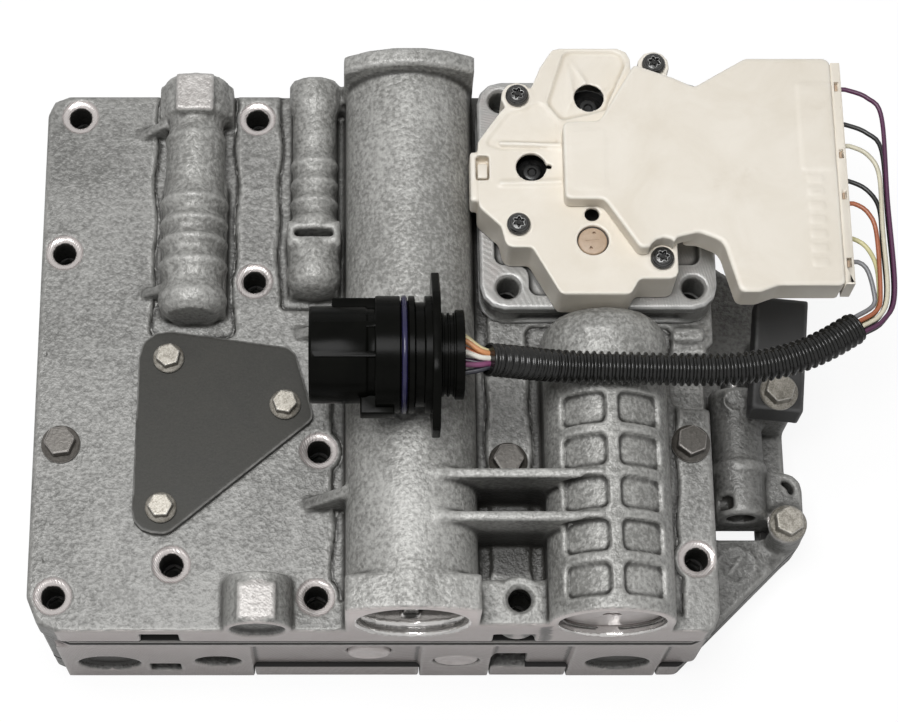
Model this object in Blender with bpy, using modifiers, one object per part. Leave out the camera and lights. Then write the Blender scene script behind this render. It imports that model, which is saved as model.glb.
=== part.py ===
"""Transmission valve body with its solenoid pack and wiring harness.

Run with: blender --background --python part.py
Sizes are in millimetres and are turned into metres by MM when a mesh is made.
X runs along the long side, Y from the machined front face to the rear, Z up.
The origin is the middle of the underside of everything but the harness.
"""

import math

import bmesh
import bpy
from mathutils import Matrix, Vector

MM = 0.001

# Fits
GAP = 0.3
RUNNING = 0.3
OVERLAP = 1.0
WELD = 1e-6

# Stack of castings, gaskets and plate, from the underside up
COVER_THICK = 15.4
COVER_GASKET_THICK = 0.5
LOWER_THICK = 36.5
BODY_GASKET_THICK = 0.7
PLATE_THICK = 1.4
UPPER_THICK = 15.5
COVER_GASKET_Z = COVER_THICK + GAP
LOWER_Z = COVER_GASKET_Z + COVER_GASKET_THICK + GAP
LOWER_TOP = LOWER_Z + LOWER_THICK
LOWER_GASKET_Z = LOWER_TOP + GAP
PLATE_Z = LOWER_GASKET_Z + BODY_GASKET_THICK + GAP
UPPER_GASKET_Z = PLATE_Z + PLATE_THICK + GAP
UPPER_Z = UPPER_GASKET_Z + BODY_GASKET_THICK + GAP
UPPER_TOP = UPPER_Z + UPPER_THICK

# Outline of the castings
BODY_LEFT = -148.0
BODY_RIGHT = 100.6
FRONT = -106.5
REAR = 104.7
REAR_CORNER = 8.0
FRONT_CORNER = 14.0
RIM_ROUND = 1.2
BASE_RIGHT = 103.2
BASE_STEP_Y = 1.0

# Clearance holes for the bolts that hold the whole stack to the gearbox
CASE_HOLE_R = 4.1
HOLE_SIDES = 8
HIDDEN_HOLE_SIDES = 6
COVER_COLUMNS = 3
COVER_ROWS = 2
SPOT_R = 7.0
SPOT_DEPTH = 0.7
CASE_HOLES = [
    (-135.4, 95.6),
    (-139.4, 39.3),
    (-67.4, 94.8),
    (-67.7, 27.8),
    (-138.4, -93.5),
    (-96.2, -81.7),
    (-44.1, -93.8),
    (-43.3, -38.8),
    (93.0, -79.6),
]
BOSS_HOLE = (28.3, -97.0)
BOSS_HOLE_TOP = 82.0
BASE_HOLES = [(24.6, 94.3), (26.2, 19.0), (94.2, 19.0), (94.2, 94.3)]

# Main barrel, with the open bore
MAIN_X = -9.9
MAIN_Z = 85.0
MAIN_R = 23.0
MAIN_FOOT = 24.6
MAIN_BORE_R = 18.7
MAIN_MOUTH_R = 19.6
MAIN_MOUTH_DEEP = 4.3
MAIN_BORE_DEEP = 120.0
MAIN_FLANGE_HALF = 23.8
MAIN_FLANGE_LONG = 13.5
MAIN_FLANGE_SHOULDER = 18.5
MAIN_FLANGE_CREST = 22.8
REAR_FLANGE_LONG = 7.5
REAR_FLANGE_HALF = 24.3
REAR_FLANGE_SHOULDER = 22.0
REAR_FLANGE_CREST = 30.0
PORT_WIDE = 5.4
PORT_LONG = 8.0
PORT_BEHIND = 8.0

# Ribbed barrel, closed by a round cap
RIB_X = 60.7
RIB_Z = 83.5
RIB_R = 22.0
RIB_FOOT = 23.0
RIB_BORE_R = 16.6
RIB_CAP_R = 18.9
RIB_CAP_DEEP = 14.0
RIB_BORE_DEEP = 88.0
RIB_DOME_R = 23.4
RIB_END = 8.0
RIB_DOME_LONG = 20.0
RIB_DOME_RISE = 0.4
RIB_PITCH = 15.6
RIB_THICK = 3.6
RIB_FIRST = 3.6
RIB_ROWS = 5
PANEL_DEEP = 2.0
PANEL_FROM = 6.0
PANEL_TO = 50.0
PANEL_CORNER = 2.2

# Webs between the two large barrels
WEB_THICK = 3.6
WEB_TOP = 106.3
WEB_PLACES = (-57.4, -73.0)

# Small barrels
SMALL1_X = -90.2
SMALL1_Z = 80.6
SMALL1_R = 12.5
SMALL1_END = 10.6
SMALL1_BOSS = 14.0
SMALL1_NECK_R = 9.4
SMALL1_CRESTS = (54.8, 46.2, 38.6, 29.7, 16.8)
SMALL2_X = -45.3
SMALL2_Z = 80.3
SMALL2_R = 8.7
SMALL2_END = 19.0
SMALL2_CRESTS = (70.6, 62.5, 54.8, 47.6)
SMALL2_BULB_R = 9.9
SLOT_PAD_Y = 41.2
SLOT_PAD_LONG = 10.2
SLOT_PAD_WIDE = 20.0
SLOT_PAD_TOP = 81.5
SLOT_WIDE = 14.6
SLOT_LONG = 3.1
SLOT_DEEP = 9.0

# Front stub, boss of the hole between the barrels, and the front face
STUB_X = -64.9
STUB_Z = 74.2
STUB_R = 12.2
STUB_LONG = 19.0
STUB_PAD_WIDE = 14.2
STUB_PAD_LONG = 14.0
STUB_PAD_TOP = 86.8
STUB_RECESS_R = 9.9
STUB_RECESS_DEEP = 2.6
FACE_BLOCK_X0 = 17.0
FACE_BLOCK_X1 = 40.0
FACE_BLOCK_LONG = 17.0
NOTCHES = ((-107.5, -93.6), (19.7, 34.8))
NOTCH_TALL = 11.0
NOTCH_DEEP = 9.0
CORNER_NOTCH_Y = (-22.6, -1.4)
CORNER_NOTCH_X = 86.0
GUSSET_THICK = 4.0
GUSSET_Y = (6.5, -59.3)

# Lower casting, front pads and valve bores
PAD_DROP = 4.0
PAD_TALL = LOWER_TOP - PAD_DROP
PAD_DEEP = 31.0
PADS = ((-139.5, -68.3), (-5.5, 20.8), (50.5, 84.6))
PAD_STEP = 1.6
CAST_RECESSES = ((-122.2, 21.0, 11.7), (68.6, 21.5, 12.0))
CAST_RECESS_DEEP = 3.0
WINDOWS = ((-107.2, -95.9, 8.8, 20.9), (20.6, 34.1, 14.6, 31.1))
WINDOW_DEEP = 10.0
VALVES = (
    {"x": -81.3, "z": 24.0, "r": 8.6, "deep": 96.0, "recess": 11.0},
    {"x": -24.9, "z": 35.4, "r": 8.3, "deep": 90.0, "recess": 0.0},
    {"x": 7.8, "z": 25.2, "r": 8.7, "deep": 96.0, "recess": 0.0},
)
PLUG_STEP = 2.4
PLUG_INSET = 0.2
PLUG_LONG = 15.0
CLIP_THICK = 1.2
CLIP_BEHIND = 8.0
CLIP_WIDE = 11.0
SPOOL_LONG = 42.0

# Right side of the lower casting
FLANGE_TOP = 22.0
LUG_TOP = 35.0
MANUAL_X = 116.0
MANUAL_Z = 33.5
MANUAL_R = 9.2
MANUAL_FRONT = -53.8
MANUAL_REAR = -3.6
MANUAL_BORE_R = 5.4
LUG_BOLT = (133.2, -56.0)
LUG_R = 7.4
SEAT_TOP = 46.0
SIDE_SLOT = (109.0, 126.2, -58.4, -53.9)
SIDE_SLOT_UNDER = 12.0

# Support block on the right
BLOCK_WIDE = 19.5
BLOCK_LONG = 45.0
BLOCK_THICK = 14.0
BLOCK_X = 129.9
BLOCK_Y = 3.4
BLOCK_TURN = -6.0
BLOCK_BOLT = (128.2, -12.2)

# Flange bolts
BODY_BOLT_AF = 10.0
SMALL_BOLT_AF = 8.0
HEAD_TALL = 6.0
FLANGE_R = 7.2
FLANGE_THICK = 1.6
SHANK_R = 2.9
SMALL_SHANK_R = 2.4
SHANK_CLEARANCE = 0.6
BODY_BOLT_LONG = 34.0
SHORT_BOLT_LONG = 11.0
BODY_BOLTS = {
    "body_bolt_left": (-137.8, -36.6),
    "body_bolt_right": (92.6, -36.4),
    "body_bolt_recess": (25.6, -43.2),
}

# Three-cornered steel plate
ACCESS_THICK = 3.0
ACCESS_BOLTS = ((-98.9, -4.3), (-55.8, -22.3), (-100.3, -61.6))

# Solenoid pack
BASE_LEFT = 15.9
BASE_FRONT = 10.6
BASE_REAR = 102.6
BASE_TALL = 16.0
BASE_Z = UPPER_TOP + GAP
BASE_TOP = BASE_Z + BASE_TALL
HOUSING_Z = BASE_TOP + GAP
HOUSING_TALL = 19.4
HOUSING_TOP = HOUSING_Z + HOUSING_TALL
HOUSING_WALL = 2.2
HOUSING_REAR = -FRONT
LEAD_Z = HOUSING_TOP + GAP
LEAD_TALL = 7.6
LEAD_TOP = LEAD_Z + LEAD_TALL
LEAD_RIGHT = 144.4
STRIP_RIGHT = 148.0
OVERHANG_Z = LEAD_TOP - 13.5
SIGHT_HOLES = ((56.3, 86.7), (34.3, 58.4))
SIGHT_R = 5.5
SOLENOIDS = ((56.3, 84.5), (34.9, 58.6), (73.0, 58.0))
SOLENOID_R = 9.6
SOLENOID_TALL = 13.0
DISC = (55.9, 29.5)
DISC_R = 5.4
SMALL_SIGHT = (55.9, 39.7)
SMALL_SIGHT_R = 2.7
TORX = ((29.7, 86.6), (80.5, 99.4), (29.1, 35.3), (80.5, 22.0))
TORX_HEAD_R = 4.3
TORX_HEAD_TALL = 3.2
TORX_SHANK_R = 1.9
TORX_LONG = 27.0
BOSS_R = 6.0

# Harness
CONNECTOR_Y = -22.0
CONNECTOR_Z = 129.2
CONNECTOR_FRONT = -46.0
CONNECTOR_BACK = 7.5
LOOM_D = 10.4
LOOM_ROUTE = (
    (15.9, -23.6, 128.8),
    (20.5, -23.2, 126.6),
    (26.5, -22.4, 122.6),
    (33.0, -21.6, 118.4),
    (41.0, -21.0, 114.8),
    (50.0, -20.8, 113.0),
    (60.7, -20.9, 112.6),
    (73.0, -21.1, 112.2),
    (86.0, -21.2, 111.6),
    (99.0, -21.0, 111.0),
    (110.0, -19.9, 110.6),
    (120.0, -17.9, 110.2),
    (129.5, -14.8, 109.9),
    (137.5, -11.0, 109.6),
    (143.5, -7.4, 109.3),
    (148.6, -4.2, 109.0),
)
WIRE_D = 1.7
WIRES = 7
WIRE_LEVEL = 1.25
WIRE_PITCH = 2.1
WIRE_FIRST_Y = 88.0
WIRE_STEP_Y = 11.4
LANE_OUTER = 163.0
LANE_PITCH = 2.6
LIFT = 1.6
STUB_WIRES_D = 8.2

PARTS = "valve_body"
COLOURS = {
    "cast": ((0.42, 0.41, 0.39, 1.0), 0.55, 0.75),
    "gasket": ((0.05, 0.06, 0.08, 1.0), 0.80, 0.0),
    "plate": ((0.16, 0.15, 0.14, 1.0), 0.45, 0.85),
    "zinc": ((0.35, 0.31, 0.25, 1.0), 0.40, 0.9),
    "steel": ((0.55, 0.55, 0.56, 1.0), 0.28, 1.0),
    "charcoal": ((0.03, 0.03, 0.03, 1.0), 0.50, 0.3),
    "cream": ((0.80, 0.75, 0.64, 1.0), 0.45, 0.0),
    "tan": ((0.50, 0.38, 0.22, 1.0), 0.45, 0.0),
    "black": ((0.01, 0.01, 0.01, 1.0), 0.35, 0.0),
    "seal": ((0.03, 0.02, 0.22, 1.0), 0.40, 0.0),
}
WIRE_COLOURS = (
    (0.10, 0.02, 0.12, 1.0),
    (0.01, 0.01, 0.01, 1.0),
    (0.75, 0.70, 0.52, 1.0),
    (0.01, 0.01, 0.01, 1.0),
    (0.42, 0.13, 0.05, 1.0),
    (0.75, 0.66, 0.35, 1.0),
    (0.30, 0.30, 0.32, 1.0),
)


def clear_scene():
    for obj in list(bpy.data.objects):
        bpy.data.objects.remove(obj, do_unlink=True)


def collection(name, hidden=False):
    """A collection of the scene, made once; hidden ones hold cutters only."""
    found = bpy.data.collections.get(name)
    if found is None:
        found = bpy.data.collections.new(name)
        bpy.context.scene.collection.children.link(found)
        found.hide_render = hidden
    return found


def material(name, colour, roughness, metallic):
    made = bpy.data.materials.new(name)
    made.use_nodes = True
    shader = made.node_tree.nodes["Principled BSDF"]
    shader.inputs["Base Color"].default_value = colour
    shader.inputs["Roughness"].default_value = roughness
    shader.inputs["Metallic"].default_value = metallic
    return made


def link_mesh(name, mesh):
    """A working object, kept with the cutters until it is finished as a node."""
    obj = bpy.data.objects.new(name, mesh)
    collection("cutters", hidden=True).objects.link(obj)
    obj.hide_render = True
    obj.display_type = "WIRE"
    return obj


def from_bmesh(name, bm):
    bmesh.ops.recalc_face_normals(bm, faces=bm.faces)
    mesh = bpy.data.meshes.new(name)
    bm.to_mesh(mesh)
    bm.free()
    return link_mesh(name, mesh)


def bake(obj):
    """Replaces the object's mesh by what its modifiers make of it."""
    graph = bpy.context.evaluated_depsgraph_get()
    made = bpy.data.meshes.new_from_object(obj.evaluated_get(graph))
    obj.modifiers.clear()
    old = obj.data
    obj.data = made
    bpy.data.meshes.remove(old)
    return obj


def box(low, high):
    """A block between two corners, in millimetres."""
    bm = bmesh.new()
    bmesh.ops.create_cube(bm, size=1.0)
    low, high = Vector(low) * MM, Vector(high) * MM
    size = high - low
    bmesh.ops.scale(bm, vec=size, verts=bm.verts)
    bmesh.ops.translate(bm, vec=(low + high) / 2, verts=bm.verts)
    return from_bmesh("box", bm)


AXES = {
    "X": Matrix(((0, 0, 1), (1, 0, 0), (0, 1, 0))),
    "Y": Matrix(((0, 1, 0), (0, 0, 1), (1, 0, 0))),
    "Z": Matrix.Identity(3),
}


def rod(start, axis, radius, long, steps=24, end_radius=None):
    """A cylinder or cone that runs from start along an axis."""
    bm = bmesh.new()
    end_radius = radius if end_radius is None else end_radius
    bmesh.ops.create_cone(
        bm,
        cap_ends=True,
        segments=steps,
        radius1=radius * MM,
        radius2=end_radius * MM,
        depth=long * MM,
    )
    bmesh.ops.translate(bm, vec=(0, 0, long * MM / 2), verts=bm.verts)
    place = Matrix.Translation(Vector(start) * MM) @ AXES[axis].to_4x4()
    bmesh.ops.transform(bm, matrix=place, verts=bm.verts)
    return from_bmesh("rod", bm)


def turned(profile, start, axis, steps=24):
    """A solid of revolution; profile holds (distance along the axis, radius)."""
    chain = [(0.0, profile[-1][0])] if profile[-1][1] > 0 else []
    chain += [(radius, along) for along, radius in reversed(profile)]
    if profile[0][1] > 0:
        chain.append((0.0, profile[0][0]))
    mesh = bpy.data.meshes.new("turned")
    points = [(radius * MM, 0.0, along * MM) for radius, along in chain]
    mesh.from_pydata(points, [(i, i + 1) for i in range(len(points) - 1)], [])
    obj = link_mesh("turned", mesh)
    screw = obj.modifiers.new("Screw", "SCREW")
    screw.steps = steps
    screw.render_steps = steps
    screw.use_merge_vertices = True
    screw.merge_threshold = 1e-5
    bake(obj)
    bm = bmesh.new()
    bm.from_mesh(obj.data)
    bmesh.ops.remove_doubles(bm, verts=bm.verts, dist=WELD)
    place = Matrix.Translation(Vector(start) * MM) @ AXES[axis].to_4x4()
    bmesh.ops.transform(bm, matrix=place, verts=bm.verts)
    bpy.data.objects.remove(obj)
    return from_bmesh("turned", bm)


def rounded(corners, steps=3):
    """Outline points of a polygon whose corners are (x, y) or (x, y, radius)."""
    points = []
    for i, corner in enumerate(corners):
        here = Vector(corner[:2])
        radius = corner[2] if len(corner) > 2 else 0.0
        to_last = (Vector(corners[i - 1][:2]) - here).normalized()
        to_next = (Vector(corners[(i + 1) % len(corners)][:2]) - here).normalized()
        half = to_last.angle(to_next, math.pi) / 2
        if radius <= 0 or half > math.radians(89):
            points.append((here.x, here.y))
            continue
        centre = here + (to_last + to_next).normalized() * (radius / math.sin(half))
        first = here + to_last * (radius / math.tan(half)) - centre
        last = here + to_next * (radius / math.tan(half)) - centre
        sweep = first.angle_signed(last)
        for step in range(steps + 1):
            turn = Matrix.Rotation(-sweep * step / steps, 2)
            place = centre + turn @ first
            points.append((place.x, place.y))
    return points


def arc(centre, radius, start, end, steps):
    """Points of an arc between two angles, in degrees."""
    angles = [math.radians(start + (end - start) * i / steps) for i in range(steps + 1)]
    return [
        (centre[0] + radius * math.cos(a), centre[1] + radius * math.sin(a)) for a in angles
    ]


PLANES = {
    "XY": Matrix.Identity(3),
    "XZ": Matrix(((1, 0, 0), (0, 0, -1), (0, 1, 0))),
    "YZ": Matrix(((0, 0, 1), (1, 0, 0), (0, 1, 0))),
}


def prism(outline, start, end, plane="XY"):
    """A flat outline extruded between two places along the plane's third axis."""
    curve = bpy.data.curves.new("outline", "CURVE")
    curve.dimensions = "2D"
    curve.fill_mode = "BOTH"
    curve.extrude = abs(end - start) * MM / 2
    spline = curve.splines.new("POLY")
    spline.points.add(len(outline) - 1)
    for point, place in zip(spline.points, outline):
        point.co = (place[0] * MM, place[1] * MM, 0.0, 1.0)
    spline.use_cyclic_u = True
    guide = bpy.data.objects.new("outline", curve)
    collection("cutters", hidden=True).objects.link(guide)
    graph = bpy.context.evaluated_depsgraph_get()
    mesh = bpy.data.meshes.new_from_object(guide.evaluated_get(graph))
    bpy.data.objects.remove(guide)
    bpy.data.curves.remove(curve)
    bm = bmesh.new()
    bm.from_mesh(mesh)
    bpy.data.meshes.remove(mesh)
    bmesh.ops.remove_doubles(bm, verts=bm.verts, dist=WELD)
    bmesh.ops.dissolve_limit(
        bm, angle_limit=math.radians(0.5), verts=bm.verts, edges=bm.edges
    )
    turn = PLANES[plane]
    middle = turn @ Vector((0, 0, 1))
    sign = -1.0 if plane == "XZ" else 1.0
    place = Matrix.Translation(middle * sign * (start + end) / 2 * MM)
    bmesh.ops.transform(bm, matrix=place @ turn.to_4x4(), verts=bm.verts)
    return from_bmesh("prism", bm)


def soften(obj, test, width, segments=2):
    """Rounds the edges whose two ends pass the test, which takes millimetres."""
    bm = bmesh.new()
    bm.from_mesh(obj.data)
    edges = [
        edge
        for edge in bm.edges
        if all(test(vert.co / MM) for vert in edge.verts)
        and edge.is_manifold
        and edge.calc_face_angle() > math.radians(20)
    ]
    bmesh.ops.bevel(
        bm,
        geom=edges,
        offset=width * MM,
        segments=segments,
        affect="EDGES",
        profile=0.5,
        clamp_overlap=True,
    )
    bm.to_mesh(obj.data)
    bm.free()
    return obj


def combine(base, others, operation):
    """Joins the others to the base, or cuts them out of it, one by one."""
    for other in others:
        modifier = base.modifiers.new("Boolean", "BOOLEAN")
        modifier.operation = operation
        modifier.solver = "EXACT"
        modifier.object = other
        bake(base)
        bpy.data.objects.remove(other)
    return base


def join(base, *others):
    return combine(base, others, "UNION")


def cut(base, *others):
    return combine(base, others, "DIFFERENCE")


def node(name, obj, finish):
    """Names the finished solid, gives it its material and shows it."""
    obj.name = name
    obj.data.name = name
    obj.hide_render = False
    obj.display_type = "TEXTURED"
    collection("cutters").objects.unlink(obj)
    collection(PARTS).objects.link(obj)
    obj.data.materials.clear()
    obj.data.materials.append(finish)
    obj.data.shade_smooth()
    obj.data.set_sharp_from_angle(angle=math.radians(30))
    return obj


def set_origin(obj, origin):
    """Moves the object's origin onto its joint's axis, leaving its shape in place."""
    place = Vector(origin) * MM
    obj.data.transform(Matrix.Translation(-place))
    obj.location = place
    return obj


def tube(points, diameter, steps=2):
    """A wire or loom along points, as a closed mesh."""
    curve = bpy.data.curves.new("route", "CURVE")
    curve.dimensions = "3D"
    curve.bevel_depth = diameter * MM / 2
    curve.bevel_resolution = steps
    curve.use_fill_caps = True
    spline = curve.splines.new("POLY")
    spline.points.add(len(points) - 1)
    for point, place in zip(spline.points, points):
        point.co = (*(Vector(place) * MM), 1.0)
    guide = bpy.data.objects.new("route", curve)
    collection("cutters", hidden=True).objects.link(guide)
    graph = bpy.context.evaluated_depsgraph_get()
    mesh = bpy.data.meshes.new_from_object(guide.evaluated_get(graph))
    bpy.data.objects.remove(guide)
    bm = bmesh.new()
    bm.from_mesh(mesh)
    bpy.data.meshes.remove(mesh)
    bmesh.ops.remove_doubles(bm, verts=bm.verts, dist=WELD)
    return from_bmesh("tube", bm)


def smooth_route(route, spacing):
    """Points at an even spacing on a smooth curve through the route's points."""
    knots = [Vector(p) for p in route]
    ends = [2 * knots[0] - knots[1], *knots, 2 * knots[-1] - knots[-2]]
    fine = []
    for a, b, c, d in zip(ends, ends[1:], ends[2:], ends[3:]):
        for step in range(12):
            t = step / 12
            fine.append(
                0.5
                * (
                    2 * b
                    + (c - a) * t
                    + (2 * a - 5 * b + 4 * c - d) * t**2
                    + (3 * b - a - 3 * c + d) * t**3
                )
            )
    fine.append(knots[-1])
    run = [0.0]
    for a, b in zip(fine, fine[1:]):
        run.append(run[-1] + (b - a).length)
    count = max(3, round(run[-1] / spacing))
    places, at = [], 0
    for i in range(count + 1):
        goal = run[-1] * i / count
        while at < len(run) - 2 and run[at + 1] < goal:
            at += 1
        share = (goal - run[at]) / max(run[at + 1] - run[at], 1e-9)
        places.append(fine[at].lerp(fine[at + 1], min(max(share, 0.0), 1.0)))
    return places


def coil(centre, radius, wire, start, end, turns, points_a_turn=6):
    """A compression spring along Y, as a tube of wire with four sides."""
    count = turns * points_a_turn
    pitch_from, pitch_to = start + wire / 2, end - wire / 2
    points = []
    for i in range(count + 1):
        angle = 2 * math.pi * i / points_a_turn
        along = pitch_from + (pitch_to - pitch_from) * i / count
        points.append(
            (
                centre[0] + radius * math.cos(angle),
                along,
                centre[1] + radius * math.sin(angle),
            )
        )
    return tube(points, wire, steps=0)


def body_outline(front=FRONT, inset=0.0):
    """The outline that the castings, the gaskets and the plate share."""
    return rounded(
        [
            (BODY_LEFT + inset, REAR - inset, REAR_CORNER),
            (BODY_LEFT + inset, front + inset, FRONT_CORNER),
            (BODY_RIGHT - inset, front + inset, REAR_CORNER),
            (BODY_RIGHT - inset, BASE_STEP_Y),
            (BASE_RIGHT - inset, BASE_STEP_Y + BASE_RIGHT - BODY_RIGHT),
            (BASE_RIGHT - inset, REAR - inset, REAR_CORNER),
        ],
        2,
    )


def stack_holes(low, high, sides=HIDDEN_HOLE_SIDES):
    """Cutters for the bolt holes that run through the whole stack."""
    places = [*CASE_HOLES, BOSS_HOLE, *BASE_HOLES]
    return [rod((x, y, low), "Z", CASE_HOLE_R, high - low, sides) for x, y in places]


def shank_hole(place, low, high, sides=HIDDEN_HOLE_SIDES):
    """A cutter for one flange bolt's shank."""
    return rod((*place, low), "Z", SHANK_R + SHANK_CLEARANCE, high - low, sides)


def buried(step):
    """Where a boss starts inside the plate; each has its own, so no faces coincide."""
    return UPPER_Z + OVERLAP + 0.45 * step


def ahead(step):
    """Where a boss starts in front of the face that is machined off at the end."""
    return FRONT - OVERLAP - 0.35 * step


def arched(foot, low, centre_z, radius, steps=10):
    """A barrel's section: a round top on straight sides that widen to the foot."""
    top = arc((0, centre_z), radius, 0, 180, steps)
    return [(foot, low), *top, (-foot, low)]


def barrel_block(x, outline, start, end):
    """A barrel's section, centred on x, run along Y."""
    return prism([(x + u, v) for u, v in outline], start, end, "XZ")


def flange_outline(half, shoulder, crest, low, centre_z):
    """A barrel's end flange: square sides under a shallow arch."""
    radius = (half**2 + (crest - shoulder) ** 2) / (2 * (crest - shoulder))
    sweep = math.degrees(math.asin(half / radius))
    top = arc((0, centre_z + crest - radius), radius, 90 - sweep, 90 + sweep, 5)
    return [(half, low), *top, (-half, low)]


def main_barrel():
    section = arched(MAIN_FOOT, buried(1), MAIN_Z, MAIN_R)
    barrel = barrel_block(MAIN_X, section, ahead(1), REAR - OVERLAP)
    front = flange_outline(
        MAIN_FLANGE_HALF, MAIN_FLANGE_SHOULDER, MAIN_FLANGE_CREST, buried(2), MAIN_Z
    )
    front = barrel_block(MAIN_X, front, ahead(2), FRONT + MAIN_FLANGE_LONG)
    soften(front, lambda v: v.z > UPPER_TOP, RIM_ROUND, 1)
    rear = flange_outline(
        REAR_FLANGE_HALF, REAR_FLANGE_SHOULDER, REAR_FLANGE_CREST, buried(3), MAIN_Z
    )
    rear = barrel_block(MAIN_X, rear, REAR - REAR_FLANGE_LONG, REAR - GAP)
    soften(rear, lambda v: v.z > UPPER_TOP, RIM_ROUND, 1)
    return [barrel, front, rear]


def main_bore():
    """The bore, its wider mouth and the port in its floor, as cutters."""
    mouth = (MAIN_X, FRONT - 2 * OVERLAP, MAIN_Z)
    profile = [
        (0.0, MAIN_MOUTH_R),
        (2 * OVERLAP + MAIN_MOUTH_DEEP, MAIN_MOUTH_R),
        (2 * OVERLAP + MAIN_MOUTH_DEEP, MAIN_BORE_R),
        (2 * OVERLAP + MAIN_BORE_DEEP, MAIN_BORE_R),
    ]
    bore = turned(profile, mouth, "Y", 19)
    near = FRONT + PORT_BEHIND
    port = box(
        (MAIN_X - PORT_WIDE / 2, near, UPPER_Z + 3 * OVERLAP),
        (MAIN_X + PORT_WIDE / 2, near + PORT_LONG, MAIN_Z),
    )
    return [bore, port]


def ribbed_barrel():
    section = arched(RIB_FOOT, buried(4), RIB_Z, RIB_R)
    barrel = barrel_block(RIB_X, section, ahead(3), RIB_END - RIB_DOME_LONG / 2)
    dome_profile = [
        (0.0, RIB_R - 0.4),
        (RIB_DOME_LONG * 0.45, RIB_DOME_R),
        (RIB_DOME_LONG * 0.74, RIB_DOME_R - 1.8),
        (RIB_DOME_LONG * 0.9, RIB_DOME_R - 5.2),
        (RIB_DOME_LONG, RIB_DOME_R - 11.0),
    ]
    dome_start = (RIB_X, RIB_END - RIB_DOME_LONG, RIB_Z + RIB_DOME_RISE)
    dome = turned(dome_profile, dome_start, "Y", 17)
    return [barrel, dome]


def panel_pockets():
    """Shallow pockets that leave the ribs standing: rows along Y, one each side."""
    inner = RIB_R - PANEL_DEEP
    outer = RIB_R + 2.0
    long = RIB_PITCH - RIB_THICK
    pockets = []
    for row in range(RIB_ROWS):
        start = FRONT + RIB_FIRST + RIB_THICK / 2 + row * RIB_PITCH
        for side in (1, -1):
            first, last = 90 - side * PANEL_FROM, 90 - side * PANEL_TO
            sector = arc((0, RIB_Z), inner, first, last, 2)
            sector += arc((0, RIB_Z), outer, last, first, 2)
            pocket = barrel_block(RIB_X, sector, start, start + long)
            ends = (start, start + long)
            soften(pocket, panel_corner(ends, side), PANEL_CORNER, 1)
            pockets.append(pocket)
    return pockets


def panel_corner(ends, side):
    """A test for the two ends of a pocket's radial corner edges."""

    def test(v):
        angle = math.degrees(math.atan2((v.x - RIB_X) * side, v.z - RIB_Z))
        at_end = min(abs(v.y - ends[0]), abs(v.y - ends[1])) < 0.01
        at_side = min(abs(angle - PANEL_FROM), abs(angle - PANEL_TO)) < 0.5
        return at_end and at_side

    return test


def rib_bore():
    mouth = (RIB_X, FRONT - 2 * OVERLAP, RIB_Z)
    profile = [
        (0.0, RIB_CAP_R),
        (2 * OVERLAP + RIB_CAP_DEEP, RIB_CAP_R),
        (2 * OVERLAP + RIB_CAP_DEEP, RIB_BORE_R),
        (2 * OVERLAP + RIB_BORE_DEEP, RIB_BORE_R),
    ]
    return turned(profile, mouth, "Y", 19)


def webs():
    """Two upright webs that tie the large barrels together."""
    made = []
    for index, place in enumerate(WEB_PLACES):
        web = box(
            (MAIN_X + 6.0 + index, place - WEB_THICK / 2, buried(6 + index)),
            (RIB_X - 3.0 - index, place + WEB_THICK / 2, WEB_TOP),
        )
        made.append(soften(web, lambda v: v.z > WEB_TOP - 0.1, 0.9, 1))
    return made


def ring_profile(crests, radius, dip, front, rear):
    """(along, radius) of a barrel with rounded rings at the crests."""
    crests = sorted(crests)
    profile = [(front, radius - 3.0), (front + 2.0, radius - 0.8), (front + 5.0, radius)]
    for low, high in zip(crests, crests[1:]):
        profile += [(low, radius), ((low + high) / 2, radius - dip)]
    profile += [(crests[-1], radius), (crests[-1] + 3.0, radius - dip)]
    profile.append((rear, radius - dip - 1.0))
    return profile


def small_barrel_1():
    profile = ring_profile(SMALL1_CRESTS, SMALL1_R, 1.7, SMALL1_END, 66.0)
    profile += [(70.0, SMALL1_NECK_R), (REAR - SMALL1_BOSS - 2.0, SMALL1_NECK_R)]
    profile += [(REAR - SMALL1_BOSS, SMALL1_R), (REAR - GAP, SMALL1_R)]
    barrel = turned(profile, (SMALL1_X, 0.0, SMALL1_Z), "Y", 15)
    low = buried(8)
    foot = box(
        (SMALL1_X - SMALL1_R + 0.6, SMALL1_END + 2.0, low),
        (SMALL1_X + SMALL1_R - 0.6, 66.0, SMALL1_Z - 1.0),
    )
    neck = box(
        (SMALL1_X - SMALL1_NECK_R + 0.4, 60.0, buried(9)),
        (SMALL1_X + SMALL1_NECK_R - 0.4, REAR - SMALL1_BOSS + 1.0, SMALL1_Z - 1.0),
    )
    boss = box(
        (SMALL1_X - SMALL1_R - 1.4, REAR - SMALL1_BOSS + 0.5, buried(10)),
        (SMALL1_X + SMALL1_R + 1.4, REAR - 1.0, SMALL1_Z + 4.0),
    )
    soften(boss, lambda v: v.z > UPPER_TOP, 2.5, 1)
    pad = box(
        (SMALL1_X - 7.2, REAR - 16.0, SMALL1_Z),
        (SMALL1_X + 7.2, REAR - 0.6, SMALL1_Z + SMALL1_R + 0.6),
    )
    soften(pad, lambda v: v.z > SMALL1_Z + 1.0, 0.8, 1)
    return [barrel, foot, neck, boss, pad]


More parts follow.
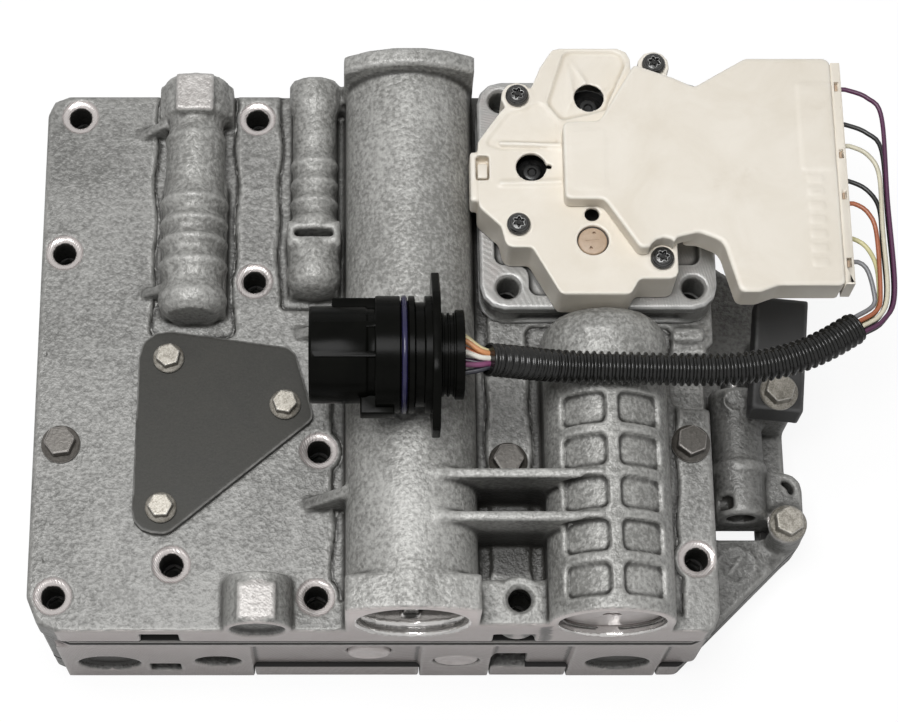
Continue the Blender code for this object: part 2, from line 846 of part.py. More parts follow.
def small_barrel_2():
    profile = ring_profile(SMALL2_CRESTS, SMALL2_R, 1.3, SLOT_PAD_Y, 80.0)
    profile += [(84.0, SMALL2_R - 1.0), (REAR - 12.0, SMALL2_R)]
    profile += [(REAR - 10.0, SMALL2_R + 1.0), (REAR - GAP, SMALL2_R + 1.0)]
    barrel = turned(profile, (SMALL2_X, 0.0, SMALL2_Z), "Y", 13)
    foot = box(
        (SMALL2_X - SMALL2_R + 0.5, SLOT_PAD_Y, buried(11)),
        (SMALL2_X + SMALL2_R - 0.5, REAR - 1.0, SMALL2_Z - 1.0),
    )
    bulb_profile = [
        (0.0, SMALL2_BULB_R * 0.4),
        (1.2, SMALL2_BULB_R * 0.75),
        (4.0, SMALL2_BULB_R),
        (15.0, SMALL2_BULB_R),
        (21.0, SMALL2_BULB_R - 1.6),
        (SLOT_PAD_Y - SMALL2_END, SMALL2_BULB_R - 1.6),
    ]
    bulb = turned(bulb_profile, (SMALL2_X, SMALL2_END, SMALL2_Z), "Y", 11)
    bulb_foot = box(
        (SMALL2_X - SMALL2_BULB_R + 0.8, SMALL2_END + 1.5, buried(12)),
        (SMALL2_X + SMALL2_BULB_R - 0.8, SLOT_PAD_Y - 1.0, SMALL2_Z - 1.5),
    )
    pad = box(
        (SMALL2_X - SLOT_PAD_WIDE / 2, SLOT_PAD_Y - SLOT_PAD_LONG / 2, buried(13)),
        (SMALL2_X + SLOT_PAD_WIDE / 2, SLOT_PAD_Y + SLOT_PAD_LONG / 2, SMALL2_Z + 8.2),
    )
    soften(pad, lambda v: v.z > UPPER_TOP, 1.6, 1)
    return [barrel, foot, bulb, bulb_foot, pad]


def small_slot():
    return box(
        (SMALL2_X - SLOT_WIDE / 2, SLOT_PAD_Y - SLOT_LONG / 2, SLOT_PAD_TOP - SLOT_DEEP),
        (SMALL2_X + SLOT_WIDE / 2, SLOT_PAD_Y + SLOT_LONG / 2, SLOT_PAD_TOP + 30.0),
    )


def front_stub():
    stub = rod((STUB_X, ahead(4), STUB_Z), "Y", STUB_R, FRONT + STUB_LONG - ahead(4), 15)
    foot = prism(
        [
            (STUB_X - STUB_R - 2.6, buried(14)),
            (STUB_X + STUB_R + 2.6, buried(14)),
            (STUB_X + STUB_R - 0.9, STUB_Z + 3.0),
            (STUB_X - STUB_R + 0.9, STUB_Z + 3.0),
        ],
        ahead(5),
        FRONT + STUB_LONG - 3.0,
        "XZ",
    )
    pad = box(
        (STUB_X - STUB_PAD_WIDE / 2, FRONT + 1.2, STUB_Z),
        (STUB_X + STUB_PAD_WIDE / 2, FRONT + 1.2 + STUB_PAD_LONG, STUB_PAD_TOP),
    )
    soften(pad, lambda v: v.z > STUB_Z + 1.0, 0.9, 1)
    return [stub, foot, pad]


def front_cutters():
    """What is machined or cored in the front face of the upper casting."""
    cutters = [
        rod(
            (STUB_X, FRONT - OVERLAP, STUB_Z),
            "Y",
            STUB_RECESS_R,
            OVERLAP + STUB_RECESS_DEEP,
            16,
        )
    ]
    for x0, x1 in NOTCHES:
        cutters.append(
            box(
                (x0, FRONT - OVERLAP, UPPER_Z - OVERLAP),
                (x1, FRONT + NOTCH_DEEP, UPPER_Z + NOTCH_TALL),
            )
        )
    return cutters


def gussets():
    """Wedge ribs that brace the main barrel's left side on the plate."""
    made = []
    for place, reach, top in zip(GUSSET_Y, (23.0, 18.0), (87.0, 91.0)):
        outline = [
            (MAIN_X - MAIN_R - reach, UPPER_TOP - 2.0),
            (MAIN_X - MAIN_R + 4.0, UPPER_TOP - 2.0),
            (MAIN_X - MAIN_R + 4.0, top),
            (MAIN_X - MAIN_R - 0.5, top),
        ]
        low, high = place - GUSSET_THICK / 2, place + GUSSET_THICK / 2
        made.append(prism(outline, low, high, "XZ"))
    return made


def corner_ribs():
    """Low ribs on the plate beside the small barrels."""
    made = []
    ribs = (
        (SMALL1_X - SMALL1_R + 1.0, 88.6, -14.0, 1.5),
        (SMALL1_X - SMALL1_R + 1.0, 21.5, -10.5, -2.0),
        (SMALL2_X + SMALL2_R - 1.0, 97.0, 8.0, 2.0),
    )
    for x, y, reach, lean in ribs:
        outline = [(x + 1.0, UPPER_TOP - 2.0), (x, SMALL1_Z + 2.0), (x + reach, UPPER_TOP - 2.0)]
        rib = prism(outline, y - 1.6, y + 1.6, "XZ")
        turn = Matrix.Translation(Vector((x, y, 0)) * MM)
        turn = turn @ Matrix.Rotation(math.radians(lean * 4), 4, "Z") @ turn.inverted()
        rib.data.transform(turn)
        made.append(rib)
    return made


def upper_body(cast):
    body = prism(body_outline(FRONT - OVERLAP), UPPER_Z, UPPER_TOP)
    soften(body, lambda v: v.z > UPPER_TOP - 0.1, RIM_ROUND, 1)
    join(body, *main_barrel(), *ribbed_barrel(), *webs())
    join(body, *small_barrel_1(), *small_barrel_2(), *front_stub())
    face = box(
        (FACE_BLOCK_X0 - 8.0, ahead(6), buried(15)),
        (FACE_BLOCK_X1 + 6.0, FRONT + FACE_BLOCK_LONG, BOSS_HOLE_TOP),
    )
    soften(face, lambda v: v.z > BOSS_HOLE_TOP - 0.1, RIM_ROUND, 1)
    join(body, face, *gussets(), *corner_ribs())
    cut(body, *panel_pockets())
    cut(body, *main_bore(), rib_bore(), small_slot(), *front_cutters())
    cut(body, *stack_holes(UPPER_Z - OVERLAP, UPPER_TOP + 40.0, HOLE_SIDES))
    spots = [
        rod((x, y, UPPER_TOP - SPOT_DEPTH), "Z", SPOT_R, 6.0, 9) for x, y in CASE_HOLES
    ]
    cut(body, *spots)
    for place in BODY_BOLTS.values():
        cut(body, shank_hole(place, UPPER_Z - OVERLAP, UPPER_TOP + OVERLAP))
    for x, y in ACCESS_BOLTS:
        cut(body, rod((x, y, UPPER_TOP - SHORT_BOLT_LONG), "Z", SMALL_SHANK_R + GAP, 20.0, 8))
    notch = rounded(
        [
            (CORNER_NOTCH_X, CORNER_NOTCH_Y[0], 6.0),
            (BODY_RIGHT + 6.0, CORNER_NOTCH_Y[0]),
            (BODY_RIGHT + 6.0, CORNER_NOTCH_Y[1]),
            (CORNER_NOTCH_X, CORNER_NOTCH_Y[1], 6.0),
        ]
    )
    cut(body, prism(notch, UPPER_Z + 3.0, UPPER_TOP + OVERLAP))
    facing = box((-300, FRONT - 50, 0), (300, FRONT, 200))
    cut(body, facing)
    return node("upper_body", body, cast)


def sheet(name, low, thick, finish, inset=0.0):
    """A gasket or the separator plate: the shared outline with every hole."""
    body = prism(body_outline(FRONT, inset), low, low + thick)
    cut(body, *stack_holes(low - OVERLAP, low + thick + OVERLAP))
    for place in BODY_BOLTS.values():
        cut(body, shank_hole(place, low - OVERLAP, low + thick + OVERLAP))
    return node(name, body, finish)


def side_flange():
    """Outline of the low flange that carries the right side's bosses."""
    lug_x, lug_y = LUG_BOLT
    return rounded(
        [
            (BODY_RIGHT - 20.0, 60.0),
            (BODY_RIGHT - 20.0, FRONT),
            (BODY_RIGHT - 8.0, FRONT, 3.0),
            (lug_x + 2.0, lug_y - 8.8, 3.0),
            (lug_x + LUG_R, lug_y - 4.0, 4.0),
            (lug_x + LUG_R, lug_y + 18.5, 5.0),
            (lug_x + 2.6, lug_y + 22.5, 2.0),
            (lug_x + 2.6, lug_y + 42.0, 3.0),
            (lug_x + 6.6, lug_y + 47.0, 3.0),
            (lug_x + 7.6, lug_y + 83.0, 6.0),
            (lug_x - 12.0, lug_y + 104.0, 8.0),
            (BODY_RIGHT + 3.0, 60.0),
        ],
        2,
    )


def right_side():
    """Bosses, lugs and the manual valve's barrel, on the low flange."""
    lug_x, lug_y = LUG_BOLT
    low = LOWER_Z + OVERLAP
    flange = prism(side_flange(), LOWER_Z, FLANGE_TOP)
    barrel_profile = [
        (0.0, MANUAL_R),
        (16.0, MANUAL_R),
        (19.0, MANUAL_R - 1.3),
        (23.0, MANUAL_R - 1.1),
        (27.0, MANUAL_R),
        (MANUAL_REAR - MANUAL_FRONT, MANUAL_R - 0.3),
    ]
    barrel = turned(barrel_profile, (MANUAL_X, MANUAL_FRONT, MANUAL_Z), "Y", 14)
    foot = box(
        (MANUAL_X - MANUAL_R + 0.5, MANUAL_FRONT + 0.4, low),
        (MANUAL_X + MANUAL_R - 0.5, MANUAL_REAR - 0.5, MANUAL_Z - 0.5),
    )
    lug = rod((lug_x, lug_y, low), "Z", LUG_R, LUG_TOP - low, 13)
    lobe = prism(
        rounded(
            [
                (MANUAL_X + 6.0, lug_y + 4.0),
                (lug_x + LUG_R - 0.6, lug_y + 4.0, 1.0),
                (lug_x + LUG_R - 0.4, lug_y + 20.5, 7.0),
                (MANUAL_X + 6.0, lug_y + 22.0),
            ]
        ),
        low,
        LUG_TOP - 2.0,
    )
    seat = prism(
        rounded(
            [
                (BLOCK_X - 8.8, BLOCK_Y - 20.6, 2.0),
                (BLOCK_X + 6.2, BLOCK_Y - 20.6, 3.0),
                (BLOCK_X + 9.6, BLOCK_Y + 18.0, 4.0),
                (BLOCK_X - 5.6, BLOCK_Y + 18.0, 4.0),
            ]
        ),
        low,
        SEAT_TOP,
    )
    soften(seat, lambda v: v.z > SEAT_TOP - 0.1, 1.0, 1)
    return [flange, barrel, foot, lug, lobe, seat]


def right_side_cutters():
    lug_x, lug_y = LUG_BOLT
    x0, x1, y0, y1 = SIDE_SLOT
    slot = rounded([(x0 - 2.0, y0), (x1, y0, 1.9), (x1, y1, 1.9), (x0 - 2.0, y1)])
    hole = rod((lug_x - 0.2, lug_y + 14.0, LOWER_Z - OVERLAP), "Z", 4.0, 30.0, 12)
    fill = rod((lug_x - 2.6, lug_y + 12.4, LOWER_Z - 2.0), "Z", 4.4, 40.0, 12)
    crescent = cut(hole, fill)
    window = box(
        (MANUAL_X - 9.2, MANUAL_FRONT + 0.4, MANUAL_Z),
        (MANUAL_X - 3.2, MANUAL_FRONT + 6.5, MANUAL_Z + 20.0),
    )
    bore = rod((MANUAL_X, MANUAL_FRONT + 3.0, MANUAL_Z), "Y", MANUAL_BORE_R, 80.0, 12)
    recess = rounded(
        [
            (lug_x - 5.0, lug_y - 9.5, 1.0),
            (lug_x - 5.0, lug_y - 16.5, 1.0),
            (lug_x + 1.6, lug_y - 9.5, 1.0),
        ]
    )
    return [
        prism(slot, LOWER_Z - OVERLAP, FLANGE_TOP + 30.0),
        crescent,
        window,
        bore,
        prism(recess, FLANGE_TOP - 1.6, FLANGE_TOP + 5.0),
        shank_hole(LUG_BOLT, LOWER_Z - OVERLAP, LUG_TOP + OVERLAP),
        shank_hole(BLOCK_BOLT, SEAT_TOP - 24.0, SEAT_TOP + OVERLAP),
    ]


def front_pads():
    """Blocks under the front bores that reach down through the bottom cover."""
    made = []
    for x0, x1 in PADS:
        pad = box((x0, FRONT, 0.0), (x1, FRONT + PAD_DEEP, PAD_TALL))
        made.append(pad)
    return made


def front_step():
    """Between the pads the face is cut back a little, above the cover."""
    made = []
    edges = [*[x for pad in PADS for x in pad][1:], BODY_RIGHT + 5.0]
    for x0, x1 in zip(edges[0::2], edges[1::2]):
        made.append(
            box((x0, FRONT - OVERLAP, LOWER_Z - OVERLAP), (x1, FRONT + PAD_STEP, PAD_TALL))
        )
    return made


def valve_bores():
    """Each valve's bore, open at the front, and the slot for its plug's clip."""
    made = []
    for valve in VALVES:
        x, z, r = valve["x"], valve["z"], valve["r"]
        step = OVERLAP + valve["recess"] + PLUG_INSET + PLUG_LONG + GAP
        deep = OVERLAP + valve["deep"]
        profile = [(0.0, r), (step, r), (step, r - PLUG_STEP), (deep, r - PLUG_STEP)]
        made.append(turned(profile, (x, FRONT - OVERLAP, z), "Y", 14))
        clip = FRONT + valve["recess"] + CLIP_BEHIND
        made.append(
            box(
                (x - CLIP_WIDE / 2 - GAP, clip - GAP, z),
                (x + CLIP_WIDE / 2 + GAP, clip + CLIP_THICK + GAP, LOWER_TOP + OVERLAP),
            )
        )
    return made


def lower_body(cast):
    body = prism(body_outline(), LOWER_Z, LOWER_TOP)
    join(body, *right_side(), *front_pads())
    cut(body, *front_step())
    for x, z, r in CAST_RECESSES:
        cut(body, rod((x, FRONT - OVERLAP, z), "Y", r, CAST_RECESS_DEEP + OVERLAP, 16))
    for x0, x1, z0, z1 in WINDOWS:
        cut(body, box((x0, FRONT - OVERLAP, z0), (x1, FRONT + WINDOW_DEEP, z1)))
    cut(body, *valve_bores(), *right_side_cutters())
    cut(body, *stack_holes(-OVERLAP, LOWER_TOP + OVERLAP))
    for place in BODY_BOLTS.values():
        depth = BODY_BOLT_LONG - UPPER_THICK
        cut(body, shank_hole(place, LOWER_TOP - depth, LOWER_TOP + OVERLAP))
    return node("lower_body", body, cast)


def cover_outline():
    """The bottom cover's outline: the casting's, with the right side's slant."""
    lug_x, lug_y = LUG_BOLT
    return rounded(
        [
            (BODY_LEFT, REAR, REAR_CORNER),
            (BODY_LEFT, FRONT, FRONT_CORNER),
            (BODY_RIGHT - 8.0, FRONT, 3.0),
            (lug_x + 2.0, lug_y - 8.8, 3.0),
            (lug_x + LUG_R, lug_y - 4.0, 4.0),
            (lug_x + LUG_R, lug_y + 18.5, 5.0),
            (lug_x + 2.6, lug_y + 22.5, 2.0),
            (lug_x + 2.6, lug_y + 42.0, 3.0),
            (BODY_RIGHT + 3.0, lug_y + 76.0, 6.0),
            (BASE_RIGHT, REAR, REAR_CORNER),
        ],
        2,
    )


def cover_cutters(low, high):
    """What passes through the bottom cover and its gasket."""
    x0, x1, y0, y1 = SIDE_SLOT
    made = stack_holes(low - OVERLAP, high + OVERLAP)
    made.append(box((x0 - 2.0, y0, low - OVERLAP), (x1, y1 + SIDE_SLOT_UNDER, high + OVERLAP)))
    for px0, px1 in PADS:
        made.append(
            box(
                (px0 - GAP, FRONT - OVERLAP, low - OVERLAP),
                (px1 + GAP, FRONT + PAD_DEEP + GAP, high + OVERLAP),
            )
        )
    wx0, wx1, wz0, wz1 = WINDOWS[1]
    made.append(box((wx0, FRONT - OVERLAP, wz0), (wx1, FRONT + WINDOW_DEEP, high + OVERLAP)))
    return made


def bottom_cover(cast, gasket):
    cover = prism(cover_outline(), 0.0, COVER_THICK)
    soften(cover, lambda v: v.z < 0.1, RIM_ROUND, 1)
    cut(cover, *cover_cutters(0.0, COVER_THICK))
    columns, rows = COVER_COLUMNS, COVER_ROWS
    gap = 8.0
    left, right = BODY_LEFT + 18.0, BODY_RIGHT - 12.0
    near, far = FRONT + PAD_DEEP + 10.0, REAR - 18.0
    wide = (right - left - gap * (columns - 1)) / columns
    long = (far - near - gap * (rows - 1)) / rows
    for column in range(columns):
        for row in range(rows):
            x, y = left + column * (wide + gap), near + row * (long + gap)
            outline = rounded(
                [(x, y, 5), (x + wide, y, 5), (x + wide, y + long, 5), (x, y + long, 5)], 1
            )
            cut(cover, prism(outline, -OVERLAP, 2.4))
    node("bottom_cover", cover, cast)
    seal = prism(cover_outline(), COVER_GASKET_Z, COVER_GASKET_Z + COVER_GASKET_THICK)
    cut(seal, *cover_cutters(COVER_GASKET_Z, COVER_GASKET_Z + COVER_GASKET_THICK))
    node("cover_gasket", seal, gasket)


def flange_bolt(name, place, seat, across, shank_long, zinc):
    """A hexagon head on a round flange, with a plain shank below the seat."""
    x, y = place
    ratio = across / BODY_BOLT_AF
    flange, shank = FLANGE_R * ratio, SHANK_R if ratio == 1 else SMALL_SHANK_R
    profile = [
        (-shank_long, shank),
        (0.0, shank),
        (0.0, flange),
        (0.6, flange),
        (FLANGE_THICK, flange * 0.8),
    ]
    bolt = turned(profile, (x, y, seat), "Z", 11)
    corners = arc((x, y), across / math.sqrt(3), 0, 300, 5)
    head = prism(corners, seat + 0.6, seat + HEAD_TALL * ratio)
    join(bolt, head)
    return node(name, bolt, zinc)


def bolts(zinc):
    for name, place in BODY_BOLTS.items():
        seat = UPPER_TOP + GAP
        flange_bolt(name, place, seat, BODY_BOLT_AF, BODY_BOLT_LONG, zinc)
    flange_bolt("lug_bolt", LUG_BOLT, LUG_TOP + GAP, BODY_BOLT_AF, 17.0, zinc)
    seat = SEAT_TOP + 2 * GAP + BLOCK_THICK
    flange_bolt("block_bolt", BLOCK_BOLT, seat, BODY_BOLT_AF, BLOCK_THICK + 20.0, zinc)
    for index, place in enumerate(ACCESS_BOLTS, 1):
        seat = UPPER_TOP + 2 * GAP + ACCESS_THICK
        long = ACCESS_THICK + SHORT_BOLT_LONG - 2.0
        flange_bolt(f"plate_bolt_{index}", place, seat, SMALL_BOLT_AF, long, zinc)


def access_plate(plate):
    left, right = ACCESS_BOLTS[0][0] - 11.8, ACCESS_BOLTS[1][0] + 10.9
    corners = [
        (left + 1.0, ACCESS_BOLTS[0][1] + 12.6, 10.0),
        (ACCESS_BOLTS[1][0] + 3.4, ACCESS_BOLTS[1][1] + 22.4, 6.0),
        (right, ACCESS_BOLTS[1][1] - 5.0, 4.0),
        (ACCESS_BOLTS[2][0] + 2.6, ACCESS_BOLTS[2][1] - 9.8, 6.0),
        (left - 0.2, ACCESS_BOLTS[2][1] - 8.6, 8.0),
    ]
    low = UPPER_TOP + GAP
    body = prism(rounded(corners, 3), low, low + ACCESS_THICK)
    for x, y in ACCESS_BOLTS:
        cut(body, rod((x, y, low - OVERLAP), "Z", SMALL_SHANK_R + GAP, ACCESS_THICK + 2 * OVERLAP, 8))
    node("access_plate", body, plate)


def accumulator(steel, zinc):
    """Cap, snap ring, piston and spring of the ribbed barrel."""
    face = FRONT + 4.0
    profile = [(0.0, RIB_CAP_R - 1.0), (0.6, RIB_CAP_R - GAP), (7.6, RIB_CAP_R - GAP)]
    profile += [(7.6, 9.0), (9.4, 9.0)]
    cap = turned(profile, (RIB_X, face, RIB_Z), "Y", 18)
    cut(cap, box((RIB_X - 2.6, face - 1.0, RIB_Z - 0.9), (RIB_X + 2.6, face + 1.0, RIB_Z + 0.9)))
    node("accumulator_cap", cap, steel)
    ring = turned(
        [(0.0, RIB_CAP_R - GAP), (1.2, RIB_CAP_R - GAP)], (RIB_X, face - 1.5, RIB_Z), "Y", 16
    )
    opening = rod((RIB_X, face - 3.0, RIB_Z), "Y", RIB_CAP_R - 2.2, 6.0, 16)
    mouth = box((RIB_X - 4.0, face - 3.0, RIB_Z - 25.0), (RIB_X + 4.0, face + 3.0, RIB_Z - 8.0))
    cut(ring, opening, mouth)
    node("cap_snap_ring", ring, steel)
    seat = FRONT + RIB_CAP_DEEP + GAP
    long = 26.0
    profile = piston_profile(RIB_BORE_R - RUNNING, long)
    piston = turned(profile, (RIB_X, seat, RIB_Z), "Y", 16)
    piston = node("accumulator_piston", piston, steel)
    set_origin(piston, (RIB_X, seat, RIB_Z))
    start, end = seat + long + GAP, FRONT + RIB_BORE_DEEP - GAP
    spring = coil((RIB_X, RIB_Z), RIB_BORE_R - 4.0, 2.6, start, end, 4)
    node("accumulator_spring", spring, zinc)


def piston_profile(radius, long):
    """A piston with a raised nose and one seal groove."""
    return [
        (0.0, radius - 5.0),
        (1.4, radius - 5.0),
        (1.4, radius),
        (6.0, radius),
        (6.0, radius - 1.6),
        (8.6, radius - 1.6),
        (8.6, radius),
        (long, radius),
    ]


def main_piston(steel, zinc):
    seat = FRONT + 30.0
    long = 24.0
    profile = piston_profile(MAIN_BORE_R - RUNNING, long)
    piston = node(
        "main_piston", turned(profile, (MAIN_X, seat, MAIN_Z), "Y", 16), steel
    )
    set_origin(piston, (MAIN_X, seat, MAIN_Z))
    start, end = seat + long + GAP, FRONT + MAIN_BORE_DEEP - GAP
    spring = coil((MAIN_X, MAIN_Z), MAIN_BORE_R - 4.5, 3.0, start, end, 5)
    node("main_spring", spring, zinc)


def spool_profile(radius, long):
    """Lands and waists of a spool valve."""
    waist = radius * 0.55
    lands = ((0.0, 0.2), (0.38, 0.62), (0.8, 1.0))
    profile = []
    for index, (low, high) in enumerate(lands):
        if index:
            profile.append((low * long, waist))
        profile += [(low * long, radius), (high * long, radius)]
        if index < len(lands) - 1:
            profile.append((high * long, waist))
    return profile


def spool_valves(steel, zinc):
    """Plug, clip, spool and spring of each bore in the lower casting."""
    for index, valve in enumerate(VALVES, 1):
        x, z, r = valve["x"], valve["z"], valve["r"] - RUNNING
        face = FRONT + valve["recess"] + PLUG_INSET
        groove = CLIP_BEHIND - PLUG_INSET
        profile = [
            (0.0, r - 0.8),
            (0.6, r),
            (groove - GAP, r),
            (groove - GAP, r - 3.2),
            (groove + CLIP_THICK + GAP, r - 3.2),
            (groove + CLIP_THICK + GAP, r),
            (PLUG_LONG, r),
        ]
        plug = turned(profile, (x, face, z), "Y", 14)
        node(f"valve_plug_{index}", plug, steel)
        node(f"plug_clip_{index}", plug_clip(valve), zinc)
        start = face + PLUG_LONG + 2 * GAP
        r -= PLUG_STEP
        spool = turned(spool_profile(r, SPOOL_LONG), (x, start, z), "Y", 12)
        spool = node(f"valve_spool_{index}", spool, steel)
        set_origin(spool, (x, start, z))
        low, high = start + SPOOL_LONG + GAP, FRONT + valve["deep"] - GAP
        spring = coil((x, z), r - 1.6, 1.6, low, high, 3)
        node(f"valve_spring_{index}", spring, zinc)


def plug_clip(valve):
    """A flat clip that straddles the plug's groove from above."""
    x, z, neck = valve["x"], valve["z"], valve["r"] - RUNNING - 3.2 + GAP
    half = CLIP_WIDE / 2
    low, high = z + GAP, LOWER_TOP - GAP
    notch = math.sqrt(max(neck**2 - GAP**2, 0.01))
    bore = arc((x, z), neck, math.degrees(math.asin(GAP / neck)), 90, 4)
    right = [(px, pz) for px, pz in bore]
    left = [(2 * x - px, pz) for px, pz in reversed(bore[:-1])]
    outline = [(x - half, low), (x - half, high), (x + half, high), (x + half, low)]
    outline += [(x + notch, low), *right[1:], *left[:-1], (x - notch, low)]
    start = FRONT + valve["recess"] + CLIP_BEHIND
    return prism(outline, start, start + CLIP_THICK, "XZ")


def manual_valve(steel):
    r = MANUAL_BORE_R - RUNNING
    start = MANUAL_FRONT + 3.0 + GAP
    long = MANUAL_REAR - start + 9.0
    profile = [
        (0.0, r),
        (9.0, r),
        (9.0, r * 0.6),
        (16.0, r * 0.6),
        (16.0, r),
        (28.0, r),
        (28.0, r * 0.6),
        (34.0, r * 0.6),
        (34.0, r),
        (long - 5.0, r),
        (long - 5.0, r * 0.6),
        (long - 2.4, r * 0.6),
        (long - 2.4, r),
        (long, r),
    ]
    valve = turned(profile, (MANUAL_X, start, MANUAL_Z), "Y", 11)
    valve = node("manual_valve", valve, steel)
    set_origin(valve, (MANUAL_X, start, MANUAL_Z))


def support_block(charcoal):
    low = SEAT_TOP + GAP
    half_x, half_y = BLOCK_WIDE / 2, BLOCK_LONG / 2
    body = box((-half_x, -half_y, low), (half_x, half_y, low + BLOCK_THICK))
    soften(body, lambda v: v.z > low + 1.0, 0.6, 1)
    turn = Matrix.Translation(Vector((BLOCK_X, BLOCK_Y, 0)) * MM)
    body.data.transform(turn @ Matrix.Rotation(math.radians(BLOCK_TURN), 4, "Z"))
    cut(body, shank_hole(BLOCK_BOLT, low - OVERLAP, low + BLOCK_THICK + OVERLAP, HOLE_SIDES))
    node("support_block", body, charcoal)


def solenoid_base(cast):
    corners = [
        (BASE_LEFT, BASE_FRONT, 9.0),
        (BASE_RIGHT - 0.2, BASE_FRONT, 9.0),
        (BASE_RIGHT - 0.2, BASE_REAR, 9.0),
        (BASE_LEFT, BASE_REAR, 9.0),
    ]
    body = prism(rounded(corners, 3), BASE_Z, BASE_TOP)
    waist_z = (BASE_Z + 2.5, BASE_TOP - 5.0)
    inner = [(x, y, 7.0) for x, y, _ in corners]
    middle = Vector(((BASE_LEFT + BASE_RIGHT) / 2, (BASE_FRONT + BASE_REAR) / 2))
    inner = [(x + 2.0 * (1 if x < middle.x else -1), y + 2.0 * (1 if y < middle.y else -1), r)
             for x, y, r in inner]
    outer = [(x - 9.0 * (1 if x < middle.x else -1), y - 9.0 * (1 if y < middle.y else -1))
             for x, y, _ in corners]
    groove = prism(outer, *waist_z)
    cut(groove, prism(rounded(inner, 3), waist_z[0] - OVERLAP, waist_z[1] + OVERLAP))
    cut(body, groove)
    soften(body, lambda v: v.z > BASE_TOP - 0.1, 0.8, 1)
    holes = [
        rod((x, y, BASE_Z - OVERLAP), "Z", CASE_HOLE_R, 30.0, HOLE_SIDES) for x, y in BASE_HOLES
    ]
    cut(body, *holes)
    for x, y in TORX:
        cut(body, rod((x, y, BASE_TOP - 10.0), "Z", TORX_SHANK_R + SHANK_CLEARANCE, 20.0, 6))
    node("solenoid_base", body, cast)


def housing_outline():
    """The moulded housing over the solenoids, seen from above."""
    return rounded(
        [
            (43.4, HOUSING_REAR, 3.0),
            (72.0, HOUSING_REAR, 4.5),
            (72.0, 96.6, 1.5),
            (86.4, 96.6, 3.0),
            (86.4, 14.6, 3.0),
            (72.3, 14.6, 2.0),
            (68.9, 8.6, 2.5),
            (43.8, 8.6, 2.5),
            (33.8, 26.8, 2.0),
            (24.6, 26.8, 3.0),
            (22.8, 34.9, 2.0),
            (14.9, 42.6, 2.5),
            (14.9, 68.6, 2.5),
            (24.0, 81.5, 2.0),
            (35.0, 90.4, 2.0),
            (38.5, 98.9, 2.0),
        ],
        2,
    )


def solenoid_housing(cream):
    """A thin-walled moulding: closed top and sides, open underneath."""
    body = prism(housing_outline(), HOUSING_Z, HOUSING_TOP)
    bosses = [rod((x, y, HOUSING_Z), "Z", BOSS_R, HOUSING_TALL, 11) for x, y in TORX]
    join(body, *bosses)
    latch = box((12.0, 45.2, HOUSING_TOP - 12.0), (20.0, 64.8, HOUSING_TOP - 0.6))
    soften(latch, lambda v: v.x < 12.6 or v.z > HOUSING_TOP - 1.0, 0.6, 1)
    join(body, latch)
    hollow_housing(body)
    for x, y in SIGHT_HOLES:
        cut(body, rod((x, y, HOUSING_TOP - 6.0), "Z", SIGHT_R, 12.0, 14))
    cut(body, rod((*DISC, HOUSING_TOP - 6.0), "Z", DISC_R + GAP, 12.0, 14))
    cut(body, rod((*SMALL_SIGHT, HOUSING_TOP - 6.0), "Z", SMALL_SIGHT_R, 12.0, 10))
    cut(body, box((14.1, 53.4, HOUSING_TOP - 5.0), (18.9, 63.0, HOUSING_TOP + 2.0)))
    for x, y in TORX:
        cut(body, rod((x, y, HOUSING_Z - OVERLAP), "Z", TORX_SHANK_R + SHANK_CLEARANCE, 30.0, 6))
    node("solenoid_housing", body, cream)


def hollow_housing(body):
    """Hollows the housing from below, leaving its screw bosses standing."""
    inner = [
        (44.8, 103.6),
        (69.0, 103.6),
        (69.6, 92.4),
        (84.0, 92.4),
        (84.0, 29.4),
        (73.4, 29.4),
        (70.4, 17.4),
        (67.4, 11.2),
        (45.0, 11.2),
        (36.8, 26.4),
        (36.8, 43.2),
        (21.4, 43.2),
        (21.4, 66.0),
        (26.6, 75.4),
        (37.2, 78.8),
        (38.2, 89.8),
        (41.2, 98.0),
    ]
    cut(body, prism(inner, HOUSING_Z - OVERLAP, HOUSING_TOP - HOUSING_WALL))


def torx_screws(black):
    for index, (x, y) in enumerate(TORX, 1):
        seat = HOUSING_TOP + GAP
        profile = [
            (-TORX_LONG, TORX_SHANK_R),
            (0.0, TORX_SHANK_R),
            (0.0, TORX_HEAD_R),
            (1.4, TORX_HEAD_R),
            (2.6, TORX_HEAD_R * 0.8),
            (TORX_HEAD_TALL, TORX_HEAD_R * 0.5),
        ]
        screw = turned(profile, (x, y, seat), "Z", 10)
        star = []
        for i in range(12):
            reach = 2.0 if i % 2 == 0 else 1.4
            angle = math.pi * i / 6
            star.append((x + reach * math.cos(angle), y + reach * math.sin(angle)))
        cut(screw, prism(star, seat + 1.4, seat + 6.0))
        node(f"torx_screw_{index}", screw, black)


def solenoids(black, tan):
    for index, (x, y) in enumerate(SOLENOIDS, 1):
        profile = [
            (0.0, SOLENOID_R),
            (SOLENOID_TALL - 3.0, SOLENOID_R),
            (SOLENOID_TALL - 2.0, 6.0),
            (SOLENOID_TALL, 5.6),
            (SOLENOID_TALL + 2.4, 3.2),
        ]
        node(f"solenoid_{index}", turned(profile, (x, y, HOUSING_Z), "Z", 12), black)
    low, high = HOUSING_Z, HOUSING_TOP - 0.6
    disc = rod((*DISC, low), "Z", DISC_R, high - low, 14)
    node("adjuster_disc", disc, tan)


